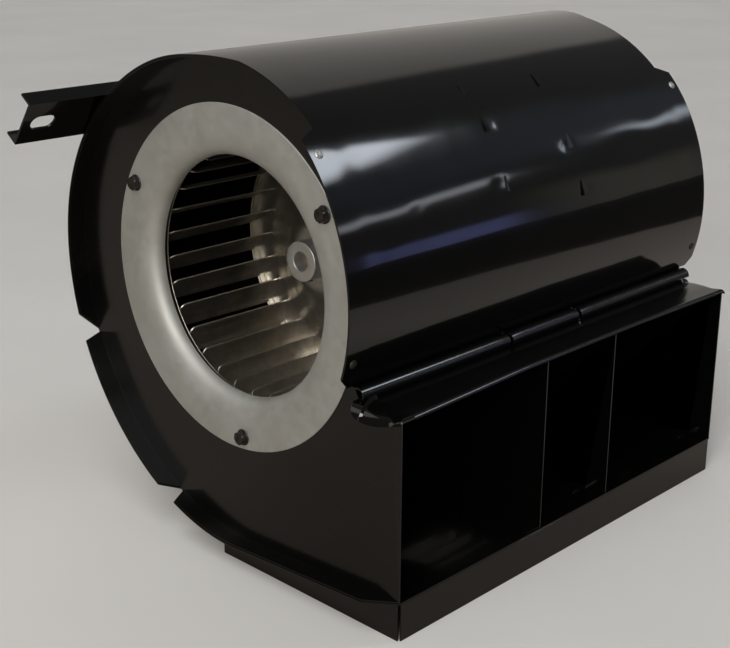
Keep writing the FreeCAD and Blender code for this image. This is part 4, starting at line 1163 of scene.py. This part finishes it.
def world():
    """Pale to the eye; as a light it is a dim room with a wall behind and windows to the right."""
    made = bpy.data.worlds.new("studio")
    SCENE.world = made
    g = Graph(made)
    ray = g.add("TexCoord").outputs["Generated"]
    split = g.add("SeparateXYZ", Vector=ray)
    azimuth = g.math("MULTIPLY", g.math("ARCTAN2", split.outputs["Y"], split.outputs["X"]), 180 / math.pi)
    elevation = g.math("MULTIPLY", g.math("ARCSINE", split.outputs["Z"]), 180 / math.pi)
    wall = g.math("MULTIPLY", g.ramp(azimuth, *WALL_START), g.ramp(azimuth, *WALL_DIMS))
    left = g.ramp(split.outputs["X"], *LEFT_START)
    tone = g.mix(wall, (0.10, 0.10, 0.10), (0.43, 0.41, 0.38))
    tone = g.mix(left, tone, (0.095, 0.092, 0.087))
    # The windows are left out of second reflections.
    path = g.add("LightPath")
    direct = g.ramp(path.outputs["Glossy Depth"], 2.0, 1.0)
    for window in WINDOWS:
        lit = g.math("MULTIPLY", patch(g, azimuth, elevation, window), direct)
        glow = g.mix(lit, (0.0, 0.0, 0.0), window[-1])
        total = g.add("Mix", {"data_type": "RGBA", "blend_type": "ADD"})
        g.put(total.inputs["Factor"], 1.0)
        g.put(total.inputs["A"], tone)
        g.put(total.inputs["B"], glow)
        tone = total.outputs["Result"]
    background = g.add("Background", Color=g.mix(path.outputs["Is Camera Ray"], tone, (0.80, 0.79, 0.77)))
    out = g.add("OutputWorld")
    g.tree.links.new(background.outputs[0], out.inputs[0])


floor()
world()
soft_sun("overhead_sun", (0.55, 0.25, -0.9), 1.15, 45.0)
area_light("fill_back", (-1.1, 1.3, 1.2), (0.0, 0.0, 0.18), 0.7, 0.5, 1.0, (1.0, 0.97, 0.92))
area_light("key_left", (-1.65, -0.95, 0.85), (-0.1, 0.0, 0.19), 0.7, 0.7, 16.0, (1.0, 0.98, 0.94))

camera_data = bpy.data.cameras.new("camera")
camera = bpy.data.objects.new("camera", camera_data)
SCENE.collection.objects.link(camera)
SCENE.camera = camera
CAMERA_AZIMUTH = math.radians(-44.97)
CAMERA_ELEVATION = math.radians(18.27)
camera_back = Vector((
    math.sin(CAMERA_AZIMUTH) * math.cos(CAMERA_ELEVATION),
    -math.cos(CAMERA_AZIMUTH) * math.cos(CAMERA_ELEVATION),
    math.sin(CAMERA_ELEVATION),
))
camera.location = (-0.6877, -0.6117, 0.4279)
camera.rotation_euler = (-camera_back).to_track_quat("-Z", "Y").to_euler()
camera_data.lens = 66.89
camera_data.sensor_width = 36.0
camera_data.shift_x = 0.0427
camera_data.shift_y = -0.0077
camera_data.clip_start = 0.01

SCENE.view_settings.view_transform = "Standard"
